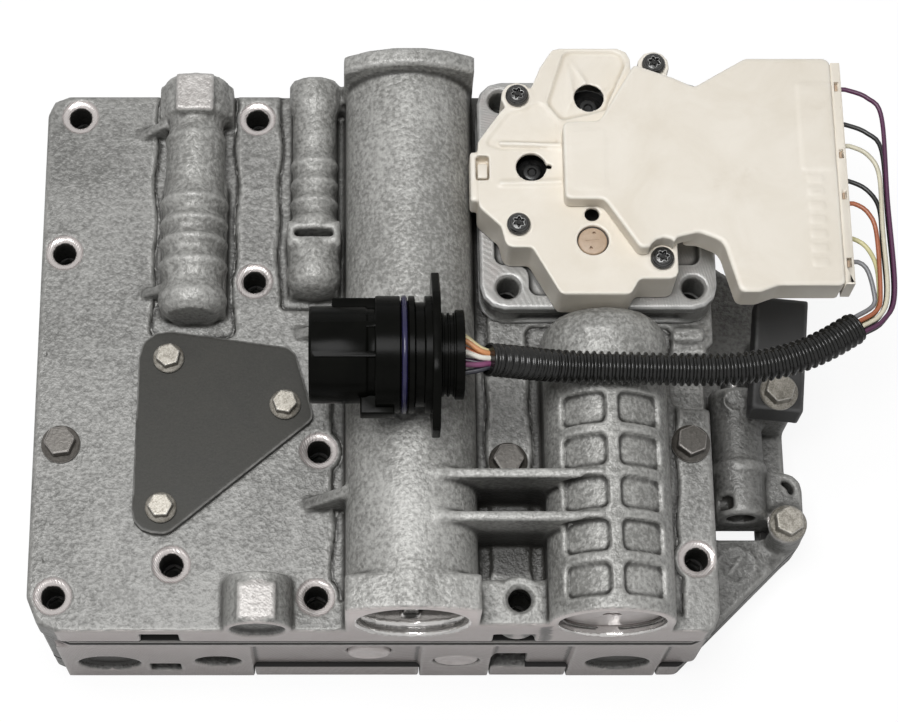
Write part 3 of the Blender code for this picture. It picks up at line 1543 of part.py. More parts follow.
def lead_outline():
    """The raised cover over the lead frame, out to the terminal strip."""
    return rounded(
        [
            (45.6, 73.0, 2.0),
            (59.0, 73.4, 3.0),
            (72.4, 96.2, 1.5),
            (86.0, 91.0, 2.0),
            (94.6, 86.9, 3.0),
            (108.6, 95.4, 3.0),
            (113.2, 98.1, 2.0),
            (LEAD_RIGHT, 98.1, 2.0),
            (LEAD_RIGHT, 9.5, 1.0),
            (120.6, 9.5, 3.0),
            (114.0, 7.0, 2.0),
            (107.2, 7.0, 2.0),
            (102.0, 26.4, 5.0),
            (94.0, 29.6, 4.0),
            (85.4, 27.6, 1.0),
            (83.6, 24.6, 1.0),
            (71.9, 23.3, 2.0),
            (59.6, 42.4, 3.0),
            (45.6, 42.4, 2.0),
        ],
        2,
    )


def lead_cover(cream):
    body = prism(lead_outline(), LEAD_Z, LEAD_TOP)
    overhang = [
        (89.0, 84.0),
        (94.4, 87.3),
        (108.6, 95.9, 3.0),
        (113.2, 98.6, 2.0),
        (LEAD_RIGHT - 0.6, 98.6, 2.0),
        (LEAD_RIGHT - 0.6, 9.0, 1.0),
        (120.6, 9.0, 3.0),
        (114.0, 6.5, 2.0),
        (106.8, 6.5, 2.0),
        (101.6, 25.9, 5.0),
        (94.0, 29.1, 4.0),
        (89.0, 29.6),
    ]
    join(body, prism(rounded(overhang, 2), OVERHANG_Z, LEAD_TOP - 0.4))
    for x, y in TORX:
        cut(body, rod((x, y, LEAD_Z - OVERLAP), "Z", TORX_HEAD_R + 1.1, 20.0, 12))
    soften(body, lambda v: v.z > LEAD_TOP - 0.1, 0.9, 1)
    node("lead_cover", body, cream)


def terminal_strip(cream):
    low, high = OVERHANG_Z, LEAD_TOP - 0.4
    body = box((LEAD_RIGHT + GAP, 9.7, low), (STRIP_RIGHT, 97.0, high))
    soften(body, lambda v: v.z > high - 0.1, 0.5, 1)
    for y in (87.1, 60.3, 44.1, 17.7):
        cut(body, box((145.3, y - 1.9, high - 3.0), (STRIP_RIGHT - 0.9, y + 1.9, high + 2.0)))
    node("terminal_strip", body, cream)


def connector(black, seal):
    """Round socket, ring, groove and eared flange, lying along X."""
    length = CONNECTOR_BACK - CONNECTOR_FRONT
    profile = [
        (0.0, 16.9),
        (22.8, 16.9),
        (22.8, 20.4),
        (31.3, 20.4),
        (31.3, 18.6),
        (34.2, 18.6),
        (34.2, 20.4),
        (36.4, 20.4),
        (36.4, 18.2),
        (39.8, 18.2),
        (39.8, 20.4),
        (42.6, 20.4),
        (42.6, 13.8),
        (50.3, 13.8),
        (50.3, 15.6),
        (length, 15.6),
    ]
    start = (CONNECTOR_FRONT, CONNECTOR_Y, CONNECTOR_Z)
    body = turned(profile, start, "X", 18)
    ear = [(CONNECTOR_Y + u, CONNECTOR_Z + v) for u, v in eared_outline()]
    flange = prism(ear, CONNECTOR_FRONT + 42.2, CONNECTOR_FRONT + 45.1, "YZ")
    key = box(
        (CONNECTOR_FRONT + 7.8, CONNECTOR_Y + 13.0, CONNECTOR_Z - 5.4),
        (CONNECTOR_FRONT + 23.8, CONNECTOR_Y + 19.2, CONNECTOR_Z + 5.4),
    )
    tab = box(
        (CONNECTOR_FRONT + 17.6, CONNECTOR_Y - 22.4, CONNECTOR_Z - 2.9),
        (CONNECTOR_FRONT + 29.4, CONNECTOR_Y - 13.0, CONNECTOR_Z + 2.9),
    )
    join(body, flange, key, tab)
    socket = rod(
        (CONNECTOR_FRONT - OVERLAP, CONNECTOR_Y, CONNECTOR_Z), "X", 14.4, 21.0, 18
    )
    back = rod((CONNECTOR_BACK - 6.0, CONNECTOR_Y, CONNECTOR_Z), "X", 12.6, 12.0, 14)
    cut(body, socket, back)
    node("connector_body", body, black)
    ring = [(0.0, 20.3), (1.15, 20.9), (2.3, 20.3)]
    start = (CONNECTOR_FRONT + 31.3 + GAP, CONNECTOR_Y, CONNECTOR_Z)
    ring = turned(ring, start, "X", 18)
    cut(ring, rod((start[0] - 2.0, start[1], start[2]), "X", 18.6 + GAP, 8.0, 18))
    node("connector_seal", ring, seal)


def eared_outline():
    """The connector flange: round, drawn out to an ear on each side."""
    return rounded(
        [
            (28.9, -5.0, 4.0),
            (28.9, 5.0, 4.0),
            (14.0, 21.3, 12.0),
            (-14.0, 21.3, 12.0),
            (-28.9, 5.0, 4.0),
            (-28.9, -5.0, 4.0),
            (-14.0, -21.3, 12.0),
            (14.0, -21.3, 12.0),
        ],
        2,
    )


def wire_route(index):
    """One wire's points, from the terminal strip round into the loom's end.

    Wires alternate between two levels. The rearmost pair takes the outermost lane.
    """
    lane, row = divmod(index, 2)
    level = WIRE_LEVEL if row == 0 else -WIRE_LEVEL
    end = Vector(LOOM_ROUTE[-1])
    outward = (end - Vector(LOOM_ROUTE[-2])).normalized()
    across = Vector((outward.y, -outward.x, 0.0)).normalized()
    mouth = end + outward * GAP + across * WIRE_PITCH * (1.5 - lane)
    mouth.z = end.z + level
    turn = mouth + outward * 9.0
    turn.z = mouth.z
    x = LANE_OUTER - LANE_PITCH * lane
    y = WIRE_FIRST_Y - WIRE_STEP_Y * index
    z = mouth.z
    top = z + (LIFT if row == 0 else -LIFT)
    points = [
        (STRIP_RIGHT + GAP, y, top),
        (STRIP_RIGHT + 3.0, y - 0.3, top),
        (0.6 * x + 0.4 * (STRIP_RIGHT + 3.0), y - 3.5, top),
        (x, y - 11.0, (top + z) / 2),
    ]
    if y > 50.0:
        points.append((x, (y + 2.0) / 2, z))
    if y > 22.0:
        points.append((x, 9.0, z))
    return [*points, tuple(turn), tuple(mouth)]


def harness(black):
    route = smooth_route(LOOM_ROUTE, LOOM_D)
    node("loom_tube", tube(route, LOOM_D, 3), black)
    start = Vector((CONNECTOR_BACK - 4.8, CONNECTOR_Y, CONNECTOR_Z))
    along = (route[1] - route[0]).normalized()
    end = route[0] - along * 2 * GAP
    near = end - along * 3.0
    bundle = tube([start, start.lerp(near, 0.6), near, end], STUB_WIRES_D, 2)
    node("connector_wires", bundle, black)
    for index in range(WIRES):
        finish = material(f"wire_{index + 1}", WIRE_COLOURS[index], 0.45, 0.0)
        route = smooth_route(wire_route(index), WIRE_D * 3)
        node(f"wire_{index + 1}", tube(route, WIRE_D, 2), finish)


def main():
    clear_scene()
    finish = {name: material(name, *values) for name, values in COLOURS.items()}
    upper_body(finish["cast"])
    sheet("upper_gasket", UPPER_GASKET_Z, BODY_GASKET_THICK, finish["gasket"], 0.8)
    sheet("separator_plate", PLATE_Z, PLATE_THICK, finish["plate"], 0.3)
    sheet("lower_gasket", LOWER_GASKET_Z, BODY_GASKET_THICK, finish["gasket"], 0.8)
    lower_body(finish["cast"])
    bottom_cover(finish["cast"], finish["gasket"])
    access_plate(finish["plate"])
    bolts(finish["zinc"])
    support_block(finish["charcoal"])
    accumulator(finish["steel"], finish["zinc"])
    main_piston(finish["steel"], finish["zinc"])
    spool_valves(finish["steel"], finish["zinc"])
    manual_valve(finish["steel"])
    solenoid_base(finish["cast"])
    solenoid_housing(finish["cream"])
    lead_cover(finish["cream"])
    terminal_strip(finish["cream"])
    torx_screws(finish["black"])
    solenoids(finish["black"], finish["tan"])
    connector(finish["black"], finish["seal"])
    harness(finish["black"])


main()
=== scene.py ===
"""Looks of a transmission valve body: castings, hydraulics, solenoid pack and wiring.

Shapes are worked in millimetres and become metres when they turn into objects.
Each sub-assembly is a class that holds its sizes and dresses its own pieces.
"""

import logging
import math
from dataclasses import dataclass
from enum import Enum
from typing import Callable, Optional, Sequence

import bmesh
import bpy
import numpy as np
from mathutils import Matrix, Vector
from mathutils.kdtree import KDTree


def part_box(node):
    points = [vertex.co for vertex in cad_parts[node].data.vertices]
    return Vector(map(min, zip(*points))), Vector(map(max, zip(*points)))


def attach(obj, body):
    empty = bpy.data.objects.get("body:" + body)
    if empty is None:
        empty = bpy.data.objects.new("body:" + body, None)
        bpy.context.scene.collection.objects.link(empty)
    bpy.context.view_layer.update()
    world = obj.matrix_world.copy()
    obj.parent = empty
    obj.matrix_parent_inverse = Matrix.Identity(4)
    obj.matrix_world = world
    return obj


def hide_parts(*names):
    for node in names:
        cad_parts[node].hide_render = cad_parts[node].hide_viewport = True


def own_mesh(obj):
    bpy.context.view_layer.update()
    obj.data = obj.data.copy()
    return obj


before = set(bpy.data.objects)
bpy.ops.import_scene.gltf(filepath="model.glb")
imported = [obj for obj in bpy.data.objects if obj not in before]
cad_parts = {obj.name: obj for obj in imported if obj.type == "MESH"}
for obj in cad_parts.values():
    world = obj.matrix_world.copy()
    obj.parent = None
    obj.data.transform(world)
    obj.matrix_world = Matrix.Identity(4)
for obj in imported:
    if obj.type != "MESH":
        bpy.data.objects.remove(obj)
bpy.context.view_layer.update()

LOG = logging.getLogger("valve_body")
MM = 0.001
FRONT = -106.5
PLATE_TOP = 72.5
LOWER_TOP = 53.0
ROUND = 180.0
BASE_HOLES = ((24.6, 94.3), (26.2, 19.0), (94.2, 19.0), (94.2, 94.3))

Point = tuple[float, float, float]
Flat = tuple[float, ...]
Colour = tuple[float, float, float]


class Axis(Enum):
    """The direction that a turned or extruded solid runs along."""

    X = "X"
    Y = "Y"
    Z = "Z"

    def turn(self) -> Matrix:
        """The turn that takes Z to this axis."""
        rows = {
            "X": ((0, 0, 1), (1, 0, 0), (0, 1, 0)),
            "Y": ((0, 1, 0), (0, 0, 1), (1, 0, 0)),
            "Z": ((1, 0, 0), (0, 1, 0), (0, 0, 1)),
        }
        return Matrix(rows[self.value]).to_4x4()

    def flat(self) -> Matrix:
        """The turn that takes a drawing and its depth to the plane across this axis."""
        rows = {
            "X": ((0, 0, 1), (1, 0, 0), (0, 1, 0)),
            "Y": ((1, 0, 0), (0, 0, 1), (0, 1, 0)),
            "Z": ((1, 0, 0), (0, 1, 0), (0, 0, 1)),
        }
        return Matrix(rows[self.value]).to_4x4()


class Slot(Enum):
    """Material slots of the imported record."""

    CAST = "cast_alloy"
    GASKET = "gasket"
    PLATE = "plate_steel"
    ZINC = "zinc"
    STEEL = "bright_steel"
    SPRING = "spring_steel"
    CHARCOAL = "charcoal"
    CREAM = "cream_plastic"
    TAN = "tan_plastic"
    SCREW = "black_screw"
    BLACK = "black_plastic"
    SEAL = "seal_rubber"


# ---- shapes ----


def arc(centre: Flat, radius: float, start: float, end: float, steps: int) -> list[Flat]:
    """Points of an arc.

    Args:
        centre: Middle of the arc.
        radius: Its radius.
        start: First angle, in degrees.
        end: Last angle, in degrees.
        steps: Number of straight pieces.

    Returns:
        The points, both ends among them.
    """
    angles = [math.radians(start + (end - start) * i / steps) for i in range(steps + 1)]
    return [(centre[0] + radius * math.cos(a), centre[1] + radius * math.sin(a)) for a in angles]


def rounded(corners: Sequence[Flat], steps: int = 6) -> list[Flat]:
    """Outline of a polygon with rounded corners.

    Args:
        corners: Corner points as (x, y) or (x, y, radius).
        steps: Straight pieces at each corner.

    Returns:
        The outline's points in order.
    """
    points: list[Flat] = []
    for i, corner in enumerate(corners):
        here = Vector(corner[:2])
        radius = corner[2] if len(corner) > 2 else 0.0
        to_last = (Vector(corners[i - 1][:2]) - here).normalized()
        to_next = (Vector(corners[(i + 1) % len(corners)][:2]) - here).normalized()
        half = to_last.angle(to_next, math.pi) / 2
        if radius <= 0 or half > math.radians(89):
            points.append((here.x, here.y))
            continue
        centre = here + (to_last + to_next).normalized() * (radius / math.sin(half))
        first = here + to_last * (radius / math.tan(half)) - centre
        last = here + to_next * (radius / math.tan(half)) - centre
        sweep = first.angle_signed(last)
        for step in range(steps + 1):
            place = centre + Matrix.Rotation(-sweep * step / steps, 2) @ first
            points.append((place.x, place.y))
    return points


def eased(profile: Sequence[Flat], ease: float) -> list[Flat]:
    """Takes the corners of a turned profile off.

    Args:
        profile: Points as (along, radius).
        ease: Length taken off each side of a corner.

    Returns:
        The profile with two points where each corner was.
    """
    made = [tuple(profile[0])]
    for last, here, after in zip(profile, profile[1:], profile[2:]):
        a, b, c = Vector(last), Vector(here), Vector(after)
        for other in (a, c):
            reach = (other - b).length
            share = min(ease, 0.42 * reach) / max(reach, 1e-6)
            made.append(tuple(b.lerp(other, share)))
    made.append(tuple(profile[-1]))
    return made


def smooth_route(route: Sequence[Sequence[float]], spacing: float) -> list[Vector]:
    """Points at an even spacing on a smooth curve through the route's points.

    Args:
        route: The points to pass through.
        spacing: Wanted distance between the new points.

    Returns:
        The new points, both ends among them.
    """
    knots = [Vector(p) for p in route]
    ends = [2 * knots[0] - knots[1], *knots, 2 * knots[-1] - knots[-2]]
    fine: list[Vector] = []
    for a, b, c, d in zip(ends, ends[1:], ends[2:], ends[3:]):
        for step in range(12):
            t = step / 12
            bend = 2 * b + (c - a) * t + (2 * a - 5 * b + 4 * c - d) * t**2
            fine.append(0.5 * (bend + (3 * b - a - 3 * c + d) * t**3))
    fine.append(knots[-1])
    run = [0.0]
    for a, b in zip(fine, fine[1:]):
        run.append(run[-1] + (b - a).length)
    count = max(3, round(run[-1] / spacing))
    places, at = [], 0
    for i in range(count + 1):
        goal = run[-1] * i / count
        while at < len(run) - 2 and run[at + 1] < goal:
            at += 1
        share = (goal - run[at]) / max(run[at + 1] - run[at], 1e-9)
        places.append(fine[at].lerp(fine[at + 1], min(max(share, 0.0), 1.0)))
    return places


class Shape:
    """Closed solids gathered in one mesh, in millimetres until they become an object."""

    def __init__(self, *nodes: str) -> None:
        """Starts with merged copies of the named CAD nodes, or empty."""
        self.bm = bmesh.new()
        for name in nodes:
            part = bmesh.new()
            part.from_mesh(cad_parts[name].data)
            part.transform(Matrix.Scale(1 / MM, 4))
            bmesh.ops.remove_doubles(part, verts=part.verts, dist=0.002)
            self.add(part, Matrix.Identity(4), recalc=False)

    def add(self, part: bmesh.types.BMesh, place: Matrix, recalc: bool = True) -> "Shape":
        """Moves a part to its place and adds it."""
        part.transform(place)
        if recalc:
            bmesh.ops.recalc_face_normals(part, faces=part.faces)
        mesh = bpy.data.meshes.new("part")
        part.to_mesh(mesh)
        part.free()
        self.bm.from_mesh(mesh)
        bpy.data.meshes.remove(mesh)
        return self

    def prism(
        self, outline: Sequence[Flat], low: float, high: float, axis: Axis = Axis.Z,
        bevel: float = 0.0, segments: int = 3,
    ) -> "Shape":
        """Adds an extruded outline.

        Args:
            outline: Points across the axis: (x, y) for Z, (x, z) for Y, (y, z) for X.
            low: Start along the axis.
            high: End along the axis.
            axis: Direction of the extrusion.
            bevel: Width taken off the sharp edges.
            segments: Steps of that rounding.

        Returns:
            This shape.
        """
        part = bmesh.new()
        rings = [[part.verts.new((p[0], p[1], w)) for p in outline] for w in (low, high)]
        count = len(outline)
        for i in range(count):
            j = (i + 1) % count
            part.faces.new((rings[0][i], rings[0][j], rings[1][j], rings[1][i]))
        part.faces.new(rings[0])
        part.faces.new(rings[1])
        if bevel > 0:
            bmesh.ops.recalc_face_normals(part, faces=part.faces)
            sharp = [e for e in part.edges if e.calc_face_angle(0.0) > math.radians(28)]
            bmesh.ops.bevel(
                part, geom=sharp, offset=bevel, segments=segments, affect="EDGES",
                profile=0.5, clamp_overlap=True,
            )
        return self.add(part, axis.flat())

    def block(self, low: Sequence[float], high: Sequence[float], bevel: float = 0.0) -> "Shape":
        """Adds a block between two corners, with its edges rounded by bevel."""
        corners = [(low[0], low[1]), (high[0], low[1]), (high[0], high[1]), (low[0], high[1])]
        return self.prism(corners, low[2], high[2], Axis.Z, bevel)

    def turned(
        self, profile: Sequence[Flat], start: Sequence[float], axis: Axis = Axis.Z,
        steps: int = 64, ease: float = 0.0,
    ) -> "Shape":
        """Adds a solid of revolution.

        Args:
            profile: Points as (distance along the axis, radius).
            start: Where the axis starts.
            axis: Direction of the axis.
            steps: Faces round it.
            ease: Length taken off each side of the profile's corners.

        Returns:
            This shape.
        """
        profile = list(profile)
        if profile[0][1] > 0:
            profile.insert(0, (profile[0][0], 0.0))
        if profile[-1][1] > 0:
            profile.append((profile[-1][0], 0.0))
        if ease > 0:
            profile = eased(profile, ease)
        part = bmesh.new()
        rings = []
        for along, radius in profile:
            if radius <= 1e-6:
                rings.append([part.verts.new((0.0, 0.0, along))])
                continue
            rings.append([
                part.verts.new((
                    radius * math.cos(2 * math.pi * i / steps),
                    radius * math.sin(2 * math.pi * i / steps),
                    along,
                ))
                for i in range(steps)
            ])
        for low, high in zip(rings, rings[1:]):
            if len(low) == 1 and len(high) == 1:
                continue
            for i in range(steps):
                j = (i + 1) % steps
                loop = (low[i % len(low)], low[j % len(low)], high[j % len(high)], high[i % len(high)])
                part.faces.new(tuple(dict.fromkeys(loop)))
        return self.add(part, Matrix.Translation(Vector(start)) @ axis.turn())

    def rod(
        self, start: Sequence[float], axis: Axis, radius: float, long: float, steps: int = 48,
    ) -> "Shape":
        """Adds a plain cylinder that runs from start along an axis."""
        return self.turned([(0.0, radius), (long, radius)], start, axis, steps)

    def tube(
        self, points: Sequence[Sequence[float]], radius: float, steps: int = 10,
        closed: bool = False,
    ) -> "Shape":
        """Adds a round tube along points, or a ring where closed."""
        part = bmesh.new()
        places = [Vector(p) for p in points]
        count = len(places)
        side = Vector((0.0, 0.0, 1.0))
        rings = []
        for i, place in enumerate(places):
            after = places[(i + 1) % count] if closed else places[min(i + 1, count - 1)]
            before = places[i - 1] if closed or i else places[0]
            along = (after - before).normalized()
            if abs(along.dot(side)) > 0.95:
                side = Vector((1.0, 0.0, 0.0))
            side = (side - along * side.dot(along)).normalized()
            across = along.cross(side)
            rings.append([
                part.verts.new(
                    place
                    + side * radius * math.cos(2 * math.pi * k / steps)
                    + across * radius * math.sin(2 * math.pi * k / steps)
                )
                for k in range(steps)
            ])
        pairs = list(zip(rings, rings[1:])) + ([(rings[-1], rings[0])] if closed else [])
        for low, high in pairs:
            for k in range(steps):
                m = (k + 1) % steps
                part.faces.new((low[k], low[m], high[m], high[k]))
        if not closed:
            part.faces.new(rings[0])
            part.faces.new(rings[-1])
        return self.add(part, Matrix.Identity(4))

    def ring(self, centre: Sequence[float], radius: float, thick: float, axis: Axis = Axis.Z) -> "Shape":
        """Adds a ring of round section, raised on whatever it crosses."""
        turn = Matrix.Translation(Vector(centre)) @ axis.turn()
        points = [turn @ Vector((*p, 0.0)) for p in arc((0, 0), radius, 0, 350, 35)]
        return self.tube(points, thick, 8, closed=True)

    def object(self, name: str) -> bpy.types.Object:
        """Turns the shape into an object of the scene, in metres."""
        self.bm.transform(Matrix.Scale(MM, 4))
        mesh = bpy.data.meshes.new(name)
        self.bm.to_mesh(mesh)
        self.bm.free()
        return linked(name, mesh)


def linked(name: str, data: bpy.types.ID) -> bpy.types.Object:
    """A new object of the scene that carries the data."""
    made = bpy.data.objects.new(name, data)
    bpy.context.scene.collection.objects.link(made)
    return made


def settle(obj: bpy.types.Object) -> bpy.types.Object:
    """Replaces the object's mesh by what its modifiers make of it."""
    graph = bpy.context.evaluated_depsgraph_get()
    made = bpy.data.meshes.new_from_object(obj.evaluated_get(graph))
    obj.modifiers.clear()
    old = obj.data
    obj.data = made
    made.name = obj.name
    if old.users == 0:
        (bpy.data.meshes if isinstance(old, bpy.types.Mesh) else bpy.data.curves).remove(old)
    return obj


def boolean(obj: bpy.types.Object, other: Shape, operation: str) -> bpy.types.Object:
    """Joins a shape to an object or cuts it out.

    Args:
        obj: The object to change.
        other: The shape to join or cut, which is used up.
        operation: UNION or DIFFERENCE.

    Returns:
        The object.
    """
    tool = other.object("tool")
    modifier = obj.modifiers.new("Boolean", "BOOLEAN")
    modifier.operation = operation
    modifier.solver = "MANIFOLD"
    modifier.object = tool
    settle(obj)
    mesh = tool.data
    bpy.data.objects.remove(tool)
    bpy.data.meshes.remove(mesh)
    return obj


def places_of(obj: bpy.types.Object) -> np.ndarray:
    """The object's vertices, in millimetres."""
    flat = np.empty(len(obj.data.vertices) * 3)
    obj.data.vertices.foreach_get("co", flat)
    return flat.reshape(-1, 3) / MM


def set_places(obj: bpy.types.Object, places: np.ndarray) -> None:
    """Moves the object's vertices to places given in millimetres."""
    obj.data.vertices.foreach_set("co", (places * MM).ravel())
    obj.data.update()


def normals_of(obj: bpy.types.Object) -> np.ndarray:
    """The object's vertex normals."""
    flat = np.empty(len(obj.data.vertices) * 3)
    obj.data.vertices.foreach_get("normal", flat)
    return flat.reshape(-1, 3)


def edges_of(obj: bpy.types.Object) -> np.ndarray:
    """Vertex numbers of the object's edges."""
    flat = np.empty(len(obj.data.edges) * 2, dtype=np.int64)
    obj.data.edges.foreach_get("vertices", flat)
    return flat.reshape(-1, 2)


def neighbour_mean(values: np.ndarray, edges: np.ndarray) -> np.ndarray:
    """Mean of each vertex's neighbours, for values of one or more columns."""
    count = len(values)
    ends = np.concatenate((edges[:, 0], edges[:, 1]))
    others = np.concatenate((edges[:, 1], edges[:, 0]))
    number = np.maximum(np.bincount(ends, minlength=count), 1)
    columns = values.reshape(count, -1)
    sums = [np.bincount(ends, weights=columns[others, i], minlength=count) for i in range(columns.shape[1])]
    return (np.stack(sums, axis=1) / number[:, None]).reshape(values.shape)


def ramp(values: np.ndarray, low: float, high: float) -> np.ndarray:
    """A smooth step from 0 at low to 1 at high."""
    share = np.clip((values - low) / (high - low), 0.0, 1.0)
    return share * share * (3 - 2 * share)


def mark(obj: bpy.types.Object, name: str, values: np.ndarray) -> None:
    """Stores one number a vertex under a name that materials read."""
    attribute = obj.data.attributes.new(name, "FLOAT", "POINT")
    attribute.data.foreach_set("value", np.asarray(values, dtype=np.float32))


def edge_values(obj: bpy.types.Object, gain: float, blurs: int) -> np.ndarray:
    """How far each vertex stands out: above 0.5 on outer edges, below it in corners."""
    edges = edges_of(obj)
    places = places_of(obj)
    out = np.einsum("ij,ij->i", places - neighbour_mean(places, edges), normals_of(obj))
    length = np.linalg.norm(places[edges[:, 0]] - places[edges[:, 1]], axis=1).mean()
    curve = out / max(length, 1e-6)
    for _ in range(blurs):
        curve = 0.5 * curve + 0.5 * neighbour_mean(curve, edges)
    return np.clip(0.5 + gain * curve, 0.0, 1.0)


def mark_edges(obj: bpy.types.Object, gain: float = 2.0, blurs: int = 0) -> None:
    """Stores the edge values of a finely meshed object."""
    mark(obj, "edge", edge_values(obj, gain, blurs))


def divide_long(obj: bpy.types.Object, limit: float) -> None:
    """Splits the object's long triangles until no edge is longer than limit, in millimetres."""
    bm = bmesh.new()
    bm.from_mesh(obj.data)
    for _ in range(6):
        long = [e for e in bm.edges if e.calc_length() > limit * MM]
        if not long:
            break
        bmesh.ops.subdivide_edges(bm, edges=long, cuts=1)
        bmesh.ops.triangulate(bm, faces=[f for f in bm.faces if len(f.verts) > 3])
    bm.to_mesh(obj.data)
    bm.free()
    obj.data.update()


Places = Callable[[np.ndarray], np.ndarray]
Surface = Callable[[np.ndarray, np.ndarray], np.ndarray]


@dataclass(frozen=True)
class Melt:
    """How a crisp solid becomes a moulded or cast one."""

    voxel: float = 0.8
    passes: int = 10
    fill: float = 0.9
    wear: float = 0.3
    faces: int = 150_000
    gain: float = 5.0
    blurs: int = 3
    longest: float = 2.6

    def apply(
        self, obj: bpy.types.Object, hold: Optional[Places] = None, milled: Optional[Surface] = None,
        form: Optional[Places] = None, painted_shade_and_dark_joint: Optional[Places] = None,
    ) -> bpy.types.Object:
        """Remeshes the object, rounds it, marks its edges and thins its mesh.

        Args:
            obj: The object to work on.
            hold: Gives each place, in millimetres, a share from 0 to 1 that stays as it is.
            milled: Gives each place and normal a share from 0 to 1 that a cutter has faced.
            form: Moves the places after the rounding.
            painted_shade_and_dark_joint: Gives each place a share from 0 to 1 by which it is darkened: painted shade
                in hollows and holes, and dark joint faces.

        Returns:
            The object.
        """
        remesh = obj.modifiers.new("Remesh", "REMESH")
        remesh.mode = "VOXEL"
        remesh.voxel_size = self.voxel * MM
        settle(obj)
        places = places_of(obj)
        edges = edges_of(obj)
        free = 1.0 - hold(places) if hold else np.ones(len(places))
        for _ in range(self.passes):
            pull = neighbour_mean(places, edges) - places
            outward = np.einsum("ij,ij->i", pull, normals_of(obj)) > 0
            share = np.where(outward, self.fill, self.wear) * free
            places = places + pull * share[:, None]
            set_places(obj, places)
        if form:
            places = form(places)
            set_places(obj, places)
        values = {"edge": edge_values(obj, self.gain, self.blurs)}
        # painted shade and dark joint faces push the edge value to its darkest
        if painted_shade_and_dark_joint:
            values["edge"] = values["edge"] + (0.03 - values["edge"]) * painted_shade_and_dark_joint(places)
        if milled:
            values["machined"] = milled(places, normals_of(obj))
        obj.data.calc_loop_triangles()
        count = len(obj.data.loop_triangles)
        if count > self.faces:
            thin = obj.modifiers.new("Decimate", "DECIMATE")
            thin.ratio = self.faces / count
            settle(obj)
            divide_long(obj, self.longest)
        tree = KDTree(len(places))
        for index, place in enumerate(places):
            tree.insert(place, index)
        tree.balance()
        nearest = np.array([tree.find(place)[1] for place in places_of(obj)])
        for name, value in values.items():
            mark(obj, name, value[nearest])
        return obj


# ---- materials ----


class Graph:
    """Short forms for wiring one node tree."""

    def __init__(self, tree: bpy.types.NodeTree) -> None:
        """Keeps the tree to wire."""
        self.tree = tree

    def node(self, kind: str, values: Optional[dict] = None, **settings: object) -> bpy.types.Node:
        """Adds a node.

        Args:
            kind: Blender's name of the node's type.
            values: Inputs by name or number, each a value or a socket to link from.
            settings: Properties of the node.

        Returns:
            The node.
        """
        made = self.tree.nodes.new(kind)
        for name, value in settings.items():
            setattr(made, name, value)
        for key, value in (values or {}).items():
            if isinstance(value, bpy.types.NodeSocket):
                self.tree.links.new(value, made.inputs[key])
            else:
                made.inputs[key].default_value = value
        return made

    def math(self, operation: str, a: object, b: object = 0.0, clamp: bool = False) -> bpy.types.NodeSocket:
        """Adds a Math node of two inputs and gives its output."""
        return self.node("ShaderNodeMath", {0: a, 1: b}, operation=operation, use_clamp=clamp).outputs[0]

    def mix(self, share: object, a: object, b: object, blend: str = "MIX") -> bpy.types.NodeSocket:
        """Adds a colour mix and gives its output."""
        made = self.node("ShaderNodeMix", data_type="RGBA", blend_type=blend)
        for index, value in ((0, share), (6, a), (7, b)):
            if isinstance(value, bpy.types.NodeSocket):
                self.tree.links.new(value, made.inputs[index])
            elif index == 0:
                made.inputs[index].default_value = value
            else:
                made.inputs[index].default_value = (*value[:3], 1.0)
        return made.outputs[2]

    def noise(self, vector: bpy.types.NodeSocket, scale: object, detail: float = 4.0, distortion: float = 0.0) -> bpy.types.NodeSocket:
        """Adds a noise texture and gives its value."""
        made = self.node("ShaderNodeTexNoise", {"Vector": vector, "Scale": scale, "Detail": detail, "Roughness": 0.6, "Distortion": distortion})
        return made.outputs[0]

    def step(self, value: bpy.types.NodeSocket, low: float, high: float) -> bpy.types.NodeSocket:
        """Adds a smooth step from 0 at low to 1 at high and gives its output."""
        made = self.node("ShaderNodeMapRange", {"Value": value, "From Min": low, "From Max": high}, interpolation_type="SMOOTHSTEP")
        return made.outputs[0]


def shader_group(name: str, inputs: dict[str, object], outputs: Sequence[str]) -> tuple[Graph, dict, bpy.types.Node]:
    """Starts a shader node group.

    Args:
        name: Name of the group.
        inputs: Socket names with their default, a number, a colour or None for a vector.
        outputs: Socket names, where Colour is a colour and the others are numbers.

    Returns:
        The graph, its input sockets by name and the output node.
    """
    tree = bpy.data.node_groups.new(name, "ShaderNodeTree")
    for label, value in inputs.items():
        kind = "NodeSocketVector" if value is None else "NodeSocketFloat"
        kind = "NodeSocketColor" if isinstance(value, tuple) else kind
        socket = tree.interface.new_socket(name=label, in_out="INPUT", socket_type=kind)
        if isinstance(value, tuple):
            socket.default_value = (*value, 1.0)
        elif value is not None:
            socket.default_value = value
    for label in outputs:
        kind = "NodeSocketColor" if label == "Colour" else "NodeSocketFloat"
        tree.interface.new_socket(name=label, in_out="OUTPUT", socket_type=kind)
    graph = Graph(tree)
    start = graph.node("NodeGroupInput")
    end = graph.node("NodeGroupOutput")
    return graph, {label: start.outputs[label] for label in inputs}, end


